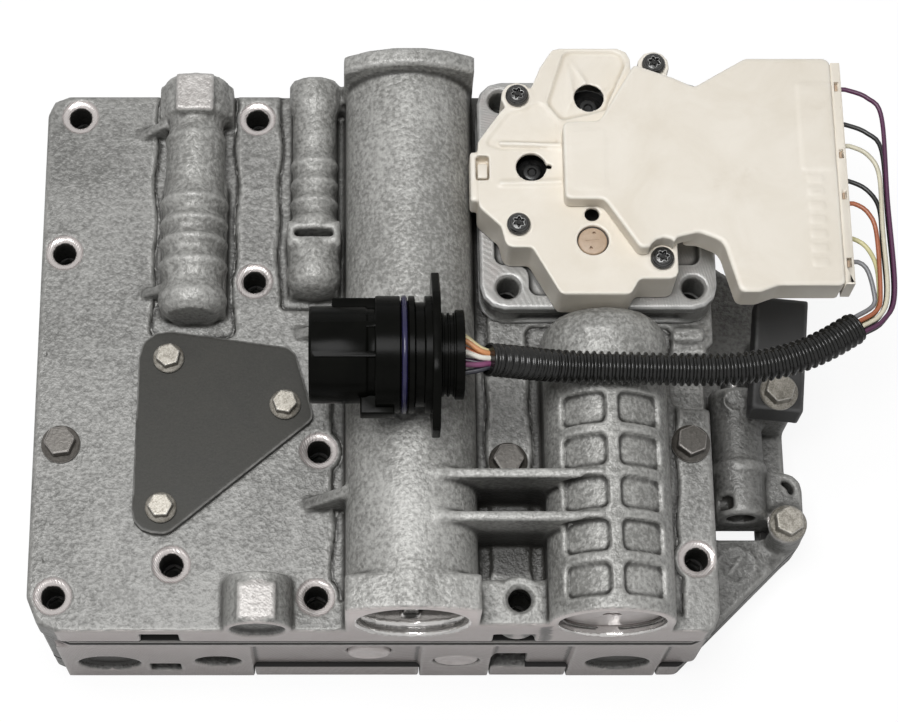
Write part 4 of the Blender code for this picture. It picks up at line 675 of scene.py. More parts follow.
def skin_group() -> bpy.types.NodeTree:
    """Patchy colour, fine grain and roughness of a cast or moulded skin."""
    inputs = {
        "Vector": None, "Dark": (0.3, 0.3, 0.3), "Light": (0.5, 0.5, 0.5), "Patch Scale": 60.0,
        "Grain Scale": 1500.0, "Speckle": 0.3, "Roughness": 0.5, "Spread": 0.1,
    }
    graph, take, end = shader_group("skin", inputs, ("Colour", "Roughness", "Grain"))
    patch = graph.noise(take["Vector"], take["Patch Scale"], 5.0, 0.6)
    grain = graph.noise(take["Vector"], take["Grain Scale"], 3.0)
    fine = graph.noise(take["Vector"], graph.math("MULTIPLY", take["Grain Scale"], 0.5), 2.0)
    both = graph.math("ADD", graph.math("MULTIPLY", grain, 0.7), graph.math("MULTIPLY", fine, 0.3))
    tone = graph.math("MULTIPLY", graph.math("SUBTRACT", both, 0.5), take["Speckle"])
    share = graph.math("ADD", graph.step(patch, 0.2, 0.8), graph.math("MULTIPLY", tone, 4.0), True)
    colour = graph.mix(share, take["Dark"], take["Light"])
    rough = graph.math("MULTIPLY", graph.math("SUBTRACT", patch, 0.5), take["Spread"])
    rough = graph.math("ADD", take["Roughness"], rough, True)
    for label, socket in (("Colour", colour), ("Roughness", rough), ("Grain", both)):
        graph.tree.links.new(socket, end.inputs[label])
    return graph.tree


def wear_group() -> bpy.types.NodeTree:
    """Bright rubbed outer edges, and corners darkened by grime and painted shade, from the edge attribute."""
    inputs = {
        "Vector": None, "Colour": (0.5, 0.5, 0.5), "Worn": (0.7, 0.7, 0.7), "Wear": 0.5,
        "Soiled": (0.1, 0.1, 0.1), "Soil": 0.5,
    }
    graph, take, end = shader_group("wear", inputs, ("Colour",))
    edge = graph.node("ShaderNodeAttribute", attribute_name="edge").outputs["Fac"]
    known = graph.step(edge, 0.0, 0.02)
    breakup = graph.step(graph.noise(take["Vector"], 180.0, 3.0), 0.3, 0.62)
    high = graph.math("MULTIPLY", graph.step(edge, 0.56, 0.85), take["Wear"])
    high = graph.math("MULTIPLY", high, graph.math("ADD", graph.math("MULTIPLY", breakup, 0.6), 0.4), True)
    # grime with painted shade: corners and creases darken towards the dark colour
    low = graph.math("MULTIPLY", graph.math("SUBTRACT", 1.0, graph.step(edge, 0.1, 0.46)), take["Soil"])
    low = graph.math("MULTIPLY", low, known, True)
    colour = graph.mix(low, graph.mix(high, take["Colour"], take["Worn"]), take["Soiled"])
    graph.tree.links.new(colour, end.inputs["Colour"])
    return graph.tree


def machined_group() -> bpy.types.NodeTree:
    """A cutter's fine arcs where the machined attribute says so."""
    inputs = {
        "Vector": None, "Colour": (0.5, 0.5, 0.5), "Machined": (0.6, 0.58, 0.56),
        "Roughness": 0.5, "Smooth": 0.3, "Metal": 0.4, "Bright": 0.9,
    }
    graph, take, end = shader_group("machined", inputs, ("Colour", "Roughness", "Metallic", "Marks"))
    mask = graph.node("ShaderNodeAttribute", attribute_name="machined").outputs["Fac"]
    bore = graph.step(mask, 0.93, 0.99)
    rings = graph.node(
        "ShaderNodeTexWave", {"Vector": take["Vector"], "Scale": 420.0, "Distortion": 1.2, "Detail": 2.0, "Detail Scale": 3.0},
        wave_type="RINGS", rings_direction="SPHERICAL",
    ).outputs[1]
    tint = graph.mix(graph.math("MULTIPLY", rings, 0.15), take["Machined"], (0.33, 0.30, 0.29))
    patch = graph.step(graph.noise(take["Vector"], 45.0, 4.0, 0.8), 0.42, 0.7)
    tint = graph.mix(graph.math("MULTIPLY", patch, 0.35), tint, (0.36, 0.30, 0.29))
    tint = graph.mix(bore, tint, (0.62, 0.605, 0.59))
    colour = graph.mix(mask, take["Colour"], tint)
    change = graph.math("SUBTRACT", take["Smooth"], take["Roughness"])
    rough = graph.math("ADD", take["Roughness"], graph.math("MULTIPLY", change, mask))
    rough = graph.math("SUBTRACT", rough, graph.math("MULTIPLY", bore, 0.14), True)
    gain = graph.math("SUBTRACT", take["Bright"], take["Metal"])
    metal = graph.math("ADD", take["Metal"], graph.math("MULTIPLY", gain, mask))
    metal = graph.math("ADD", metal, graph.math("MULTIPLY", bore, 0.3), True)
    marks = graph.math("MULTIPLY", rings, graph.math("MULTIPLY", mask, graph.math("SUBTRACT", 1.0, bore)))
    for label, socket in (("Colour", colour), ("Roughness", rough), ("Metallic", metal), ("Marks", marks)):
        graph.tree.links.new(socket, end.inputs[label])
    return graph.tree


def stain_group() -> bpy.types.NodeTree:
    """Faint handling stains on pale plastic, by Object coordinates."""
    inputs = {"Vector": None, "Colour": (0.8, 0.8, 0.7), "Stain": (0.5, 0.42, 0.3), "Amount": 0.2}
    graph, take, end = shader_group("stain", inputs, ("Colour",))
    wide = graph.step(graph.noise(take["Vector"], 22.0, 5.0, 1.0), 0.52, 0.78)
    narrow = graph.step(graph.noise(take["Vector"], 130.0, 4.0, 0.5), 0.4, 0.75)
    share = graph.math("MULTIPLY", graph.math("MULTIPLY", wide, narrow), take["Amount"], True)
    graph.tree.links.new(graph.mix(share, take["Colour"], take["Stain"]), end.inputs["Colour"])
    return graph.tree


def painted_light_group() -> bpy.types.NodeTree:
    """Painted highlight that lightens the barrels and painted shade that darkens the stack low down, by height."""
    inputs = {"Vector": None, "Colour": (0.5, 0.5, 0.5), "Gain": 0.3, "Drop": 0.3}
    graph, take, end = shader_group("lift", inputs, ("Colour",))
    height = graph.node("ShaderNodeSeparateXYZ", {0: take["Vector"]}).outputs[2]
    # painted highlight: lighter from 73.5 mm up to 94 mm high, over the barrels
    high = graph.math("MULTIPLY", graph.step(height, 0.0735, 0.094), take["Gain"])
    # painted shade: darker from 71 mm down to 30 mm high
    low = graph.math("MULTIPLY", graph.math("SUBTRACT", 1.0, graph.step(height, 0.030, 0.071)), take["Drop"])
    level = graph.math("SUBTRACT", graph.math("ADD", high, 1.0), low)
    tint = graph.node("ShaderNodeCombineColor", {0: level, 1: level, 2: level}).outputs[0]
    colour = graph.mix(1.0, take["Colour"], tint, "MULTIPLY")
    graph.tree.links.new(colour, end.inputs["Colour"])
    return graph.tree


class Effects:
    """The shader groups that the finishes share, each built once."""

    built: dict[str, bpy.types.NodeTree] = {}

    @classmethod
    def get(cls, name: str) -> bpy.types.NodeTree:
        """The group of that name, built at its first use."""
        makers = {
            "skin": skin_group, "wear": wear_group, "machined": machined_group, "stain": stain_group,
            "lift": painted_light_group,
        }
        if name not in cls.built:
            cls.built[name] = makers[name]()
        return cls.built[name]


@dataclass(frozen=True)
class Finish:
    """One finish: its two tones, its grain, gloss, wear, and the grime and painted shade in its corners."""

    name: str
    dark: Colour
    light: Colour
    rough: float = 0.5
    spread: float = 0.15
    metallic: float = 0.0
    patch: float = 14.0
    grain: float = 0.6
    speckle: float = 0.25
    bump: float = 0.05
    worn: Colour = (0.7, 0.7, 0.68)
    wear: float = 0.0
    # colour and strength of the grime and painted shade in corners and creases
    painted_shade_grime_colour: Colour = (0.05, 0.05, 0.05)
    painted_shade_grime: float = 0.0
    machined: Optional[Colour] = None
    smooth: float = 0.3
    bright: float = 0.85
    stain: Optional[Colour] = None
    stained: float = 0.0
    specular: float = 0.5
    # strength of the painted highlight on the barrels, with painted shade low down, by height; 0 leaves it out
    lift: float = 0.0

    @staticmethod
    def effect(graph: Graph, name: str, vector: bpy.types.NodeSocket, values: dict[str, object]) -> bpy.types.Node:
        """Adds one of the shared groups.

        Args:
            graph: The material's graph.
            name: Name of the group.
            vector: Object coordinates.
            values: The group's other inputs, each a number, a colour or a socket to link from.

        Returns:
            The group's node.
        """
        made = graph.node("ShaderNodeGroup", node_tree=Effects.get(name))
        graph.tree.links.new(vector, made.inputs["Vector"])
        for label, value in values.items():
            if isinstance(value, bpy.types.NodeSocket):
                graph.tree.links.new(value, made.inputs[label])
            else:
                made.inputs[label].default_value = (*value, 1.0) if isinstance(value, tuple) else value
        return made

    def build(self) -> bpy.types.Material:
        """Builds the material.

        Returns:
            The material, made once for each finish.
        """
        label = f"{self.name}_finish"
        found = bpy.data.materials.get(label)
        if found:
            return found
        made = bpy.data.materials.new(label)
        made.use_nodes = True
        graph = Graph(made.node_tree)
        shader = made.node_tree.nodes["Principled BSDF"]
        vector = graph.node("ShaderNodeTexCoord").outputs["Object"]
        skin = self.effect(graph, "skin", vector, {
            "Dark": self.dark, "Light": self.light, "Patch Scale": 1000.0 / self.patch,
            "Grain Scale": 1000.0 / self.grain, "Speckle": self.speckle, "Roughness": self.rough,
            "Spread": self.spread,
        })
        colour, rough, height = skin.outputs["Colour"], skin.outputs["Roughness"], skin.outputs["Grain"]
        if self.stain:
            values = {"Colour": colour, "Stain": self.stain, "Amount": self.stained}
            colour = self.effect(graph, "stain", vector, values).outputs["Colour"]
        shader.inputs["Metallic"].default_value = self.metallic
        shader.inputs["Specular IOR Level"].default_value = self.specular
        if self.machined:
            milled = self.effect(graph, "machined", vector, {
                "Colour": colour, "Roughness": rough, "Machined": self.machined, "Smooth": self.smooth,
                "Metal": self.metallic, "Bright": self.bright,
            })
            colour, rough = milled.outputs["Colour"], milled.outputs["Roughness"]
            graph.tree.links.new(milled.outputs["Metallic"], shader.inputs["Metallic"])
            calm = graph.node("ShaderNodeAttribute", attribute_name="machined").outputs["Fac"]
            rest = graph.math("SUBTRACT", 1.0, graph.math("MULTIPLY", calm, 0.85))
            height = graph.math("MULTIPLY", height, rest)
            height = graph.math("ADD", height, graph.math("MULTIPLY", milled.outputs["Marks"], 0.12))
        # painted highlight on the barrels and painted shade low down, by height
        if self.lift:
            colour = self.effect(graph, "lift", vector, {"Colour": colour, "Gain": self.lift}).outputs["Colour"]
        # rubbed edges, and grime with painted shade in the corners
        if self.wear or self.painted_shade_grime:
            colour = self.effect(graph, "wear", vector, {
                "Colour": colour, "Worn": self.worn, "Wear": self.wear, "Soiled": self.painted_shade_grime_colour, "Soil": self.painted_shade_grime,
            }).outputs["Colour"]
        bump = graph.node("ShaderNodeBump", {"Height": height, "Strength": 1.0, "Distance": self.bump * MM})
        graph.tree.links.new(colour, shader.inputs["Base Color"])
        graph.tree.links.new(rough, shader.inputs["Roughness"])
        graph.tree.links.new(bump.outputs["Normal"], shader.inputs["Normal"])
        made.diffuse_color = (*self.light, 1.0)
        return made


CASTING = Finish(
    "cast_aluminium", (0.12, 0.119, 0.112), (0.262, 0.26, 0.249), rough=0.44, metallic=0.18, patch=60.0,
    grain=1.5, speckle=0.85, bump=0.5, worn=(0.55, 0.545, 0.525), wear=0.3, painted_shade_grime_colour=(0.035, 0.034, 0.031),
    # lift paints a highlight over the barrels and shade low in the stack
    painted_shade_grime=1.0, machined=(0.50, 0.45, 0.437), smooth=0.32, bright=0.5, lift=0.62,
)
DARK_CASTING = Finish(
    "dark_cast_aluminium", (0.16, 0.158, 0.15), (0.25, 0.248, 0.235), rough=0.5, metallic=0.12, patch=9.0,
    grain=0.7, speckle=0.7, bump=0.3, worn=(0.56, 0.56, 0.55), wear=0.8, painted_shade_grime_colour=(0.015, 0.015, 0.014),
    painted_shade_grime=0.9, machined=(0.30, 0.30, 0.29), smooth=0.42, bright=0.3,
)
GASKET = Finish("gasket_paper", (0.010, 0.010, 0.010), (0.022, 0.021, 0.020), rough=0.85, patch=5.0, grain=0.3, bump=0.03)
PLATE = Finish(
    "plate_steel", (0.016, 0.0155, 0.0125), (0.030, 0.029, 0.0245), rough=0.45, spread=0.2, metallic=0.1, patch=14.0,
    grain=0.6, speckle=0.5, bump=0.04, worn=(0.42, 0.415, 0.40), wear=1.0, painted_shade_grime_colour=(0.02, 0.02, 0.02), painted_shade_grime=0.5,
    specular=0.25,
)
SEPARATOR = Finish(
    "separator_steel", (0.16, 0.155, 0.145), (0.27, 0.262, 0.25), rough=0.38, metallic=0.9, patch=9.0, grain=0.4,
    bump=0.01,
)
ZINC = Finish(
    "zinc_plate", (0.16, 0.145, 0.12), (0.36, 0.34, 0.30), rough=0.36, spread=0.3, metallic=0.45, patch=3.0,
    grain=0.5, speckle=0.7, bump=0.06, worn=(0.72, 0.70, 0.66), wear=0.9, painted_shade_grime_colour=(0.022, 0.018, 0.013), painted_shade_grime=0.95,
)
DARK_ZINC = Finish(
    "aged_zinc", (0.055, 0.05, 0.043), (0.11, 0.101, 0.09), rough=0.33, metallic=0.3, patch=70.0,
    grain=0.9, speckle=0.7, bump=0.08, worn=(0.70, 0.66, 0.63), wear=1.0, painted_shade_grime_colour=(0.02, 0.019, 0.016), painted_shade_grime=0.85,
)
STEEL = Finish(
    "ground_steel", (0.50, 0.49, 0.485), (0.66, 0.65, 0.645), rough=0.24, spread=0.14, metallic=0.95, patch=9.0,
    grain=0.3, speckle=0.12, bump=0.006, worn=(0.85, 0.85, 0.85), wear=0.5, painted_shade_grime_colour=(0.1, 0.09, 0.08), painted_shade_grime=0.4,
)
CAP = Finish(
    "turned_cap", (0.46, 0.42, 0.41), (0.60, 0.56, 0.55), rough=0.36, metallic=0.55, patch=8.0, grain=0.4,
    speckle=0.2, bump=0.02, worn=(0.85, 0.84, 0.84), wear=0.9, painted_shade_grime_colour=(0.08, 0.07, 0.065), painted_shade_grime=0.5,
)
SPRING = Finish("spring_wire", (0.11, 0.105, 0.10), (0.24, 0.23, 0.22), rough=0.35, metallic=0.9, patch=2.0, grain=0.3, bump=0.01)
CHARCOAL = Finish(
    "charcoal_moulding", (0.015, 0.015, 0.015), (0.0225, 0.0225, 0.0225), rough=0.55, patch=10.0, grain=0.45,
    bump=0.04, worn=(0.16, 0.16, 0.16), wear=0.55, painted_shade_grime_colour=(0.012, 0.012, 0.012), painted_shade_grime=0.4,
)
CREAM = Finish(
    "cream_nylon", (0.745, 0.685, 0.585), (0.835, 0.785, 0.70), rough=0.42, spread=0.12, patch=26.0, grain=0.5,
    speckle=0.05, bump=0.012, worn=(0.90, 0.87, 0.80), wear=0.5, painted_shade_grime_colour=(0.47, 0.39, 0.28), painted_shade_grime=0.6,
    stain=(0.50, 0.42, 0.31), stained=0.34,
)
TAN = Finish(
    "tan_insert", (0.40, 0.29, 0.20), (0.50, 0.38, 0.28), rough=0.5, patch=4.0, grain=0.3, speckle=0.25, bump=0.02,
    worn=(0.62, 0.50, 0.38), wear=0.6, painted_shade_grime_colour=(0.05, 0.035, 0.02), painted_shade_grime=0.9,
)
SCREW = Finish(
    "black_screw", (0.010, 0.010, 0.010), (0.035, 0.034, 0.032), rough=0.22, spread=0.15, metallic=0.3, patch=2.0,
    grain=0.3, speckle=0.3, bump=0.02, worn=(0.5, 0.5, 0.49), wear=0.75, painted_shade_grime_colour=(0.004, 0.004, 0.004), painted_shade_grime=0.6,
)
BLACK = Finish(
    "black_nylon", (0.0018, 0.0019, 0.0015), (0.0034, 0.0035, 0.0028), rough=0.24, spread=0.12, patch=8.0, grain=0.5,
    speckle=0.2, bump=0.012, worn=(0.035, 0.035, 0.036), wear=0.7, painted_shade_grime_colour=(0.001, 0.001, 0.001), painted_shade_grime=0.4,
    specular=0.04,
)
LOOM = Finish(
    "loom_sleeve", (0.006, 0.006, 0.0055), (0.012, 0.012, 0.011), rough=0.22, spread=0.1, patch=6.0, grain=0.5,
    bump=0.01, specular=0.3,
)
SEAL = Finish("seal_rubber", (0.006, 0.005, 0.028), (0.013, 0.011, 0.060), rough=0.2, patch=6.0, grain=0.6, bump=0.006, specular=0.4)
# near-black solenoid caps: the tone is painted shade of the deep openings they sit under
PAINTED_SHADE_CAPS = Finish("solenoid_steel", (0.006, 0.006, 0.006), (0.02, 0.02, 0.02), rough=0.3, metallic=0.1, patch=3.0, grain=0.4, bump=0.01, specular=0.3)


def dress(
    obj: bpy.types.Object, finish: Finish, slot: Slot, nodes: Sequence[str] = (), body: str = "casing",
    sharp: float = 32.0,
) -> bpy.types.Object:
    """Gives a finished piece its material, its body and the nodes that it stands for.

    Args:
        obj: The piece.
        finish: Its finish.
        slot: The record's material slot; not used.
        nodes: CAD nodes that it replaces.
        body: CAD body that it rides on.
        sharp: Angle, in degrees, past which an edge stays sharp; ROUND keeps none.

    Returns:
        The piece.
    """
    obj.data.materials.clear()
    obj.data.materials.append(finish.build())
    obj.data.shade_smooth()
    if sharp < ROUND:
        obj.data.set_sharp_from_angle(angle=math.radians(sharp))
    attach(obj, body)
    if nodes:
        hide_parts(*nodes)
    LOG.info("%s: %d nodes replaced, on %s", obj.name, len(nodes), body)
    return obj


def dress_node(name: str, finish: Finish) -> None:
    """Gives a CAD node that stays a better material."""
    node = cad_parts[name]
    for slot in node.material_slots:
        slot.material = finish.build()
    LOG.info("%s: CAD node dressed", name)


def middle_of(node: str) -> tuple[Vector, Vector, Vector]:
    """Lowest corner, highest corner and middle of a CAD node, in millimetres."""
    low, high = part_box(node)
    low, high = Vector(low) / MM, Vector(high) / MM
    return low, high, (low + high) / 2


def round_of(node: str) -> tuple[Point, float, float]:
    """Start, radius and length of a CAD node that is turned about Y, in millimetres."""
    low, high, middle = middle_of(node)
    return (middle.x, low.y, middle.z), (high.x - low.x) / 2, high.y - low.y


# ---- geometry node trees ----


class Repeats:
    """Geometry Nodes trees for what repeats or follows a path."""

    @staticmethod
    def tree(name: str, inputs: dict[str, str]) -> tuple[Graph, bpy.types.Node, bpy.types.Node]:
        """Starts a geometry tree.

        Args:
            name: Name of the tree.
            inputs: Socket types by socket name; Geometry is added.

        Returns:
            The graph, its input node and its output node.
        """
        tree = bpy.data.node_groups.new(name, "GeometryNodeTree")
        tree.interface.new_socket(name="Geometry", in_out="INPUT", socket_type="NodeSocketGeometry")
        for label, kind in inputs.items():
            tree.interface.new_socket(name=label, in_out="INPUT", socket_type=kind)
        tree.interface.new_socket(name="Geometry", in_out="OUTPUT", socket_type="NodeSocketGeometry")
        graph = Graph(tree)
        return graph, graph.node("NodeGroupInput"), graph.node("NodeGroupOutput")

    @staticmethod
    def close(graph: Graph, geometry: bpy.types.NodeSocket, material: bpy.types.NodeSocket, end: bpy.types.Node) -> None:
        """Ends a tree in Realize Instances and Set Material."""
        real = graph.node("GeometryNodeRealizeInstances", {"Geometry": geometry})
        done = graph.node("GeometryNodeSetMaterial", {"Geometry": real.outputs[0], "Material": material})
        graph.tree.links.new(done.outputs[0], end.inputs[0])

    @staticmethod
    def run(obj: bpy.types.Object, tree: bpy.types.NodeTree, values: dict[str, object]) -> bpy.types.Object:
        """Puts the tree on an object, sets its inputs and turns the result into a plain mesh."""
        modifier = obj.modifiers.new("Repeat", "NODES")
        modifier.node_group = tree
        for item in tree.interface.items_tree:
            if item.item_type == "SOCKET" and item.in_out == "INPUT" and item.name in values:
                modifier[item.identifier] = values[item.name]
        return settle(obj)

    @classmethod
    def copies(
        cls, name: str, master: Shape, places: Sequence[Sequence[float]], turns: Sequence[float], finish: Finish,
    ) -> bpy.types.Object:
        """Copies of one master solid at places, each turned about Z.

        Args:
            name: Name of the piece.
            master: The solid, made round the origin.
            places: Where the copies go, in millimetres.
            turns: The turn of each, in degrees.
            finish: The finish of the copies.

        Returns:
            One mesh object with all the copies.
        """
        graph, start, end = cls.tree(f"{name}_tree", {"Master": "NodeSocketObject", "Material": "NodeSocketMaterial"})
        turn = graph.node("GeometryNodeInputNamedAttribute", {"Name": "turn"}, data_type="FLOAT")
        spin = graph.node("ShaderNodeCombineXYZ", {"Z": turn.outputs[0]})
        euler = graph.node("FunctionNodeEulerToRotation", {0: spin.outputs[0]})
        info = graph.node("GeometryNodeObjectInfo", {"Object": start.outputs["Master"]})
        points = graph.node("GeometryNodeMeshToPoints", {"Mesh": start.outputs["Geometry"]})
        put = graph.node(
            "GeometryNodeInstanceOnPoints",
            {"Points": points.outputs[0], "Instance": info.outputs["Geometry"], "Rotation": euler.outputs[0]},
        )
        cls.close(graph, put.outputs[0], start.outputs["Material"], end)
        mesh = bpy.data.meshes.new(name)
        mesh.from_pydata([tuple(c * MM for c in p) for p in places], [], [])
        obj = linked(name, mesh)
        mark(obj, "turn", np.radians(np.asarray(turns, dtype=float)))
        stamp = master.object(f"{name}_master")
        cls.run(obj, graph.tree, {"Master": stamp, "Material": finish.build()})
        bpy.data.objects.remove(stamp)
        return obj

    @classmethod
    def sleeve(
        cls, name: str, route: Sequence[Vector], radius: float, depth: float, pitch: float, finish: Finish,
    ) -> bpy.types.Object:
        """A corrugated sleeve along a route.

        Args:
            name: Name of the piece.
            route: Points that it follows, in millimetres.
            radius: Mean outer radius.
            depth: How far the rings stand out of it and dip below it.
            pitch: Distance from ring to ring.
            finish: Its finish.

        Returns:
            The sleeve as a mesh object.
        """
        kinds = {label: "NodeSocketFloat" for label in ("Radius", "Depth", "Pitch")}
        graph, start, end = cls.tree(f"{name}_tree", {**kinds, "Material": "NodeSocketMaterial"})
        line = graph.node("GeometryNodeMeshToCurve", {0: start.outputs["Geometry"]})
        step = graph.math("MULTIPLY", start.outputs["Pitch"], 0.125)
        even = graph.node("GeometryNodeResampleCurve", {"Curve": line.outputs[0], "Length": step}, mode="LENGTH")
        place = graph.node("GeometryNodeSplineParameter")
        kept = graph.node(
            "GeometryNodeStoreNamedAttribute",
            {"Geometry": even.outputs[0], "Name": "run", "Value": place.outputs["Length"]},
            data_type="FLOAT", domain="POINT",
        )
        circle = graph.node("GeometryNodeCurvePrimitiveCircle", {"Resolution": 28, "Radius": start.outputs["Radius"]}, mode="RADIUS")
        swept = graph.node(
            "GeometryNodeCurveToMesh",
            {"Curve": kept.outputs[0], "Profile Curve": circle.outputs[0], "Fill Caps": True},
        )
        run = graph.node("GeometryNodeInputNamedAttribute", {"Name": "run"}, data_type="FLOAT").outputs[0]
        phase = graph.math("MULTIPLY", graph.math("DIVIDE", run, start.outputs["Pitch"]), 2 * math.pi)
        wave = graph.math("MULTIPLY", graph.math("SINE", phase), 1.7)
        wave = graph.math("MAXIMUM", graph.math("MINIMUM", wave, 1.0), -1.0)
        reach = graph.math("MULTIPLY", wave, start.outputs["Depth"])
        normal = graph.node("GeometryNodeInputNormal").outputs[0]
        push = graph.node("ShaderNodeVectorMath", {0: normal, "Scale": reach}, operation="SCALE")
        ribbed = graph.node("GeometryNodeSetPosition", {"Geometry": swept.outputs[0], "Offset": push.outputs[0]})
        cls.close(graph, ribbed.outputs[0], start.outputs["Material"], end)
        mesh = bpy.data.meshes.new(name)
        mesh.from_pydata([tuple(p * MM) for p in route], [(i, i + 1) for i in range(len(route) - 1)], [])
        obj = linked(name, mesh)
        values = {"Radius": radius * MM, "Depth": depth * MM, "Pitch": pitch * MM, "Material": finish.build()}
        return cls.run(obj, graph.tree, values)

    @classmethod
    def coil(
        cls, name: str, centre: Point, radius: float, wire: float, long: float, turns: float, finish: Finish,
    ) -> bpy.types.Object:
        """A compression spring along Y.

        Args:
            name: Name of the piece.
            centre: Middle of its front end, in millimetres.
            radius: Radius of its coils, to the middle of the wire.
            wire: Thickness of the wire.
            long: Length over all.
            turns: Number of coils.
            finish: Its finish.

        Returns:
            The spring as a mesh object.
        """
        kinds = {label: "NodeSocketFloat" for label in ("Radius", "Wire", "Height", "Turns")}
        graph, start, end = cls.tree(f"{name}_tree", {**kinds, "Material": "NodeSocketMaterial"})
        spiral = graph.node(
            "GeometryNodeCurveSpiral",
            {
                "Resolution": 28, "Rotations": start.outputs["Turns"], "Start Radius": start.outputs["Radius"],
                "End Radius": start.outputs["Radius"], "Height": start.outputs["Height"],
            },
        )
        circle = graph.node(
            "GeometryNodeCurvePrimitiveCircle",
            {"Resolution": 10, "Radius": graph.math("MULTIPLY", start.outputs["Wire"], 0.5)}, mode="RADIUS",
        )
        swept = graph.node(
            "GeometryNodeCurveToMesh",
            {"Curve": spiral.outputs[0], "Profile Curve": circle.outputs[0], "Fill Caps": True},
        )
        cls.close(graph, swept.outputs[0], start.outputs["Material"], end)
        obj = linked(name, bpy.data.meshes.new(name))
        values = {
            "Radius": radius * MM, "Wire": wire * MM, "Height": (long - wire) * MM, "Turns": turns,
            "Material": finish.build(),
        }
        cls.run(obj, graph.tree, values)
        place = Vector(centre) + Vector((0.0, wire / 2, 0.0))
        obj.data.transform(Matrix.Translation(place * MM) @ Axis.Y.turn())
        return obj


# ---- the photograph's stage ----


@dataclass
class Studio:
    """Camera, soft light, white floor and background."""

    eye: Point = (-31.15, -308.13, 921.92)
    tilt: float = 19.7
    lens: float = 97.66
    shift: float = 0.108
    key: float = 15.0
    fill: float = 0.25
    ambient: float = 0.11
    aim: Point = (0.0, 0.0, 0.05)

    def camera(self) -> None:
        """Places the photograph's camera."""
        data = bpy.data.cameras.new("camera")
        data.lens = self.lens
        data.sensor_width = 36.0
        data.shift_x = self.shift
        data.clip_start = 0.01
        data.clip_end = 20.0
        made = linked("camera", data)
        made.location = Vector(self.eye) * MM
        made.rotation_euler = (math.radians(self.tilt), 0.0, 0.0)
        bpy.context.scene.camera = made

    def lamp(self, name: str, place: Point, size: float, power: float) -> None:
        """Adds a square area lamp that points at the object, in metres."""
        data = bpy.data.lights.new(name, "AREA")
        data.size = size
        data.energy = power
        made = linked(name, data)
        made.location = place
        made.rotation_euler = (Vector(self.aim) - Vector(place)).to_track_quat("-Z", "Y").to_euler()

    def world(self) -> None:
        """A white background for the camera and for reflections, softer as light."""
        made = bpy.data.worlds.new("studio")
        made.use_nodes = True
        tree = made.node_tree
        tree.nodes.clear()
        graph = Graph(tree)
        path = graph.node("ShaderNodeLightPath")
        seen = graph.math("MAXIMUM", path.outputs["Is Camera Ray"], path.outputs["Is Transmission Ray"])
        seen = graph.math("MAXIMUM", seen, path.outputs["Is Glossy Ray"])
        soft = graph.node("ShaderNodeBackground", {"Color": (1.0, 1.0, 1.0, 1.0), "Strength": self.ambient})
        white = graph.node("ShaderNodeBackground", {"Color": (1.0, 1.0, 1.0, 1.0), "Strength": 1.0})
        both = graph.node("ShaderNodeMixShader", {0: seen, 1: soft.outputs[0], 2: white.outputs[0]})
        end = graph.node("ShaderNodeOutputWorld")
        tree.links.new(both.outputs[0], end.inputs["Surface"])
        bpy.context.scene.world = made

    def floor(self) -> None:
        """A white floor that keeps the object's shadow faintly."""
        shape = Shape()
        shape.turned([(-4.0, 1.0), (-4.0, 3200.0), (-0.05, 3200.0), (-0.05, 1.0)], (0, 0, 0), Axis.Z, 96)
        made = shape.object("floor")
        material = bpy.data.materials.new("white_floor")
        material.use_nodes = True
        tree = material.node_tree
        tree.nodes.clear()
        graph = Graph(tree)
        path = graph.node("ShaderNodeLightPath")
        matt = graph.node("ShaderNodeBsdfDiffuse", {"Color": (0.86, 0.86, 0.86, 1.0)})
        glow = graph.node("ShaderNodeEmission", {"Color": (1.0, 1.0, 1.0, 1.0), "Strength": 1.06})
        share = graph.math("MULTIPLY", path.outputs["Is Camera Ray"], 0.86)
        both = graph.node("ShaderNodeMixShader", {0: share, 1: matt.outputs[0], 2: glow.outputs[0]})
        end = graph.node("ShaderNodeOutputMaterial")
        tree.links.new(both.outputs[0], end.inputs["Surface"])
        made.data.materials.append(material)

    def build(self) -> None:
        """Sets the stage."""
        bpy.context.scene.view_settings.view_transform = "Standard"
        self.camera()
        self.lamp("overhead", (-0.18, -0.05, 1.35), 0.55, self.key)
        self.lamp("front", (-0.2, -1.1, 0.7), 0.7, self.fill)
        self.world()
        self.floor()
        LOG.info("studio set")


# ---- harness ----


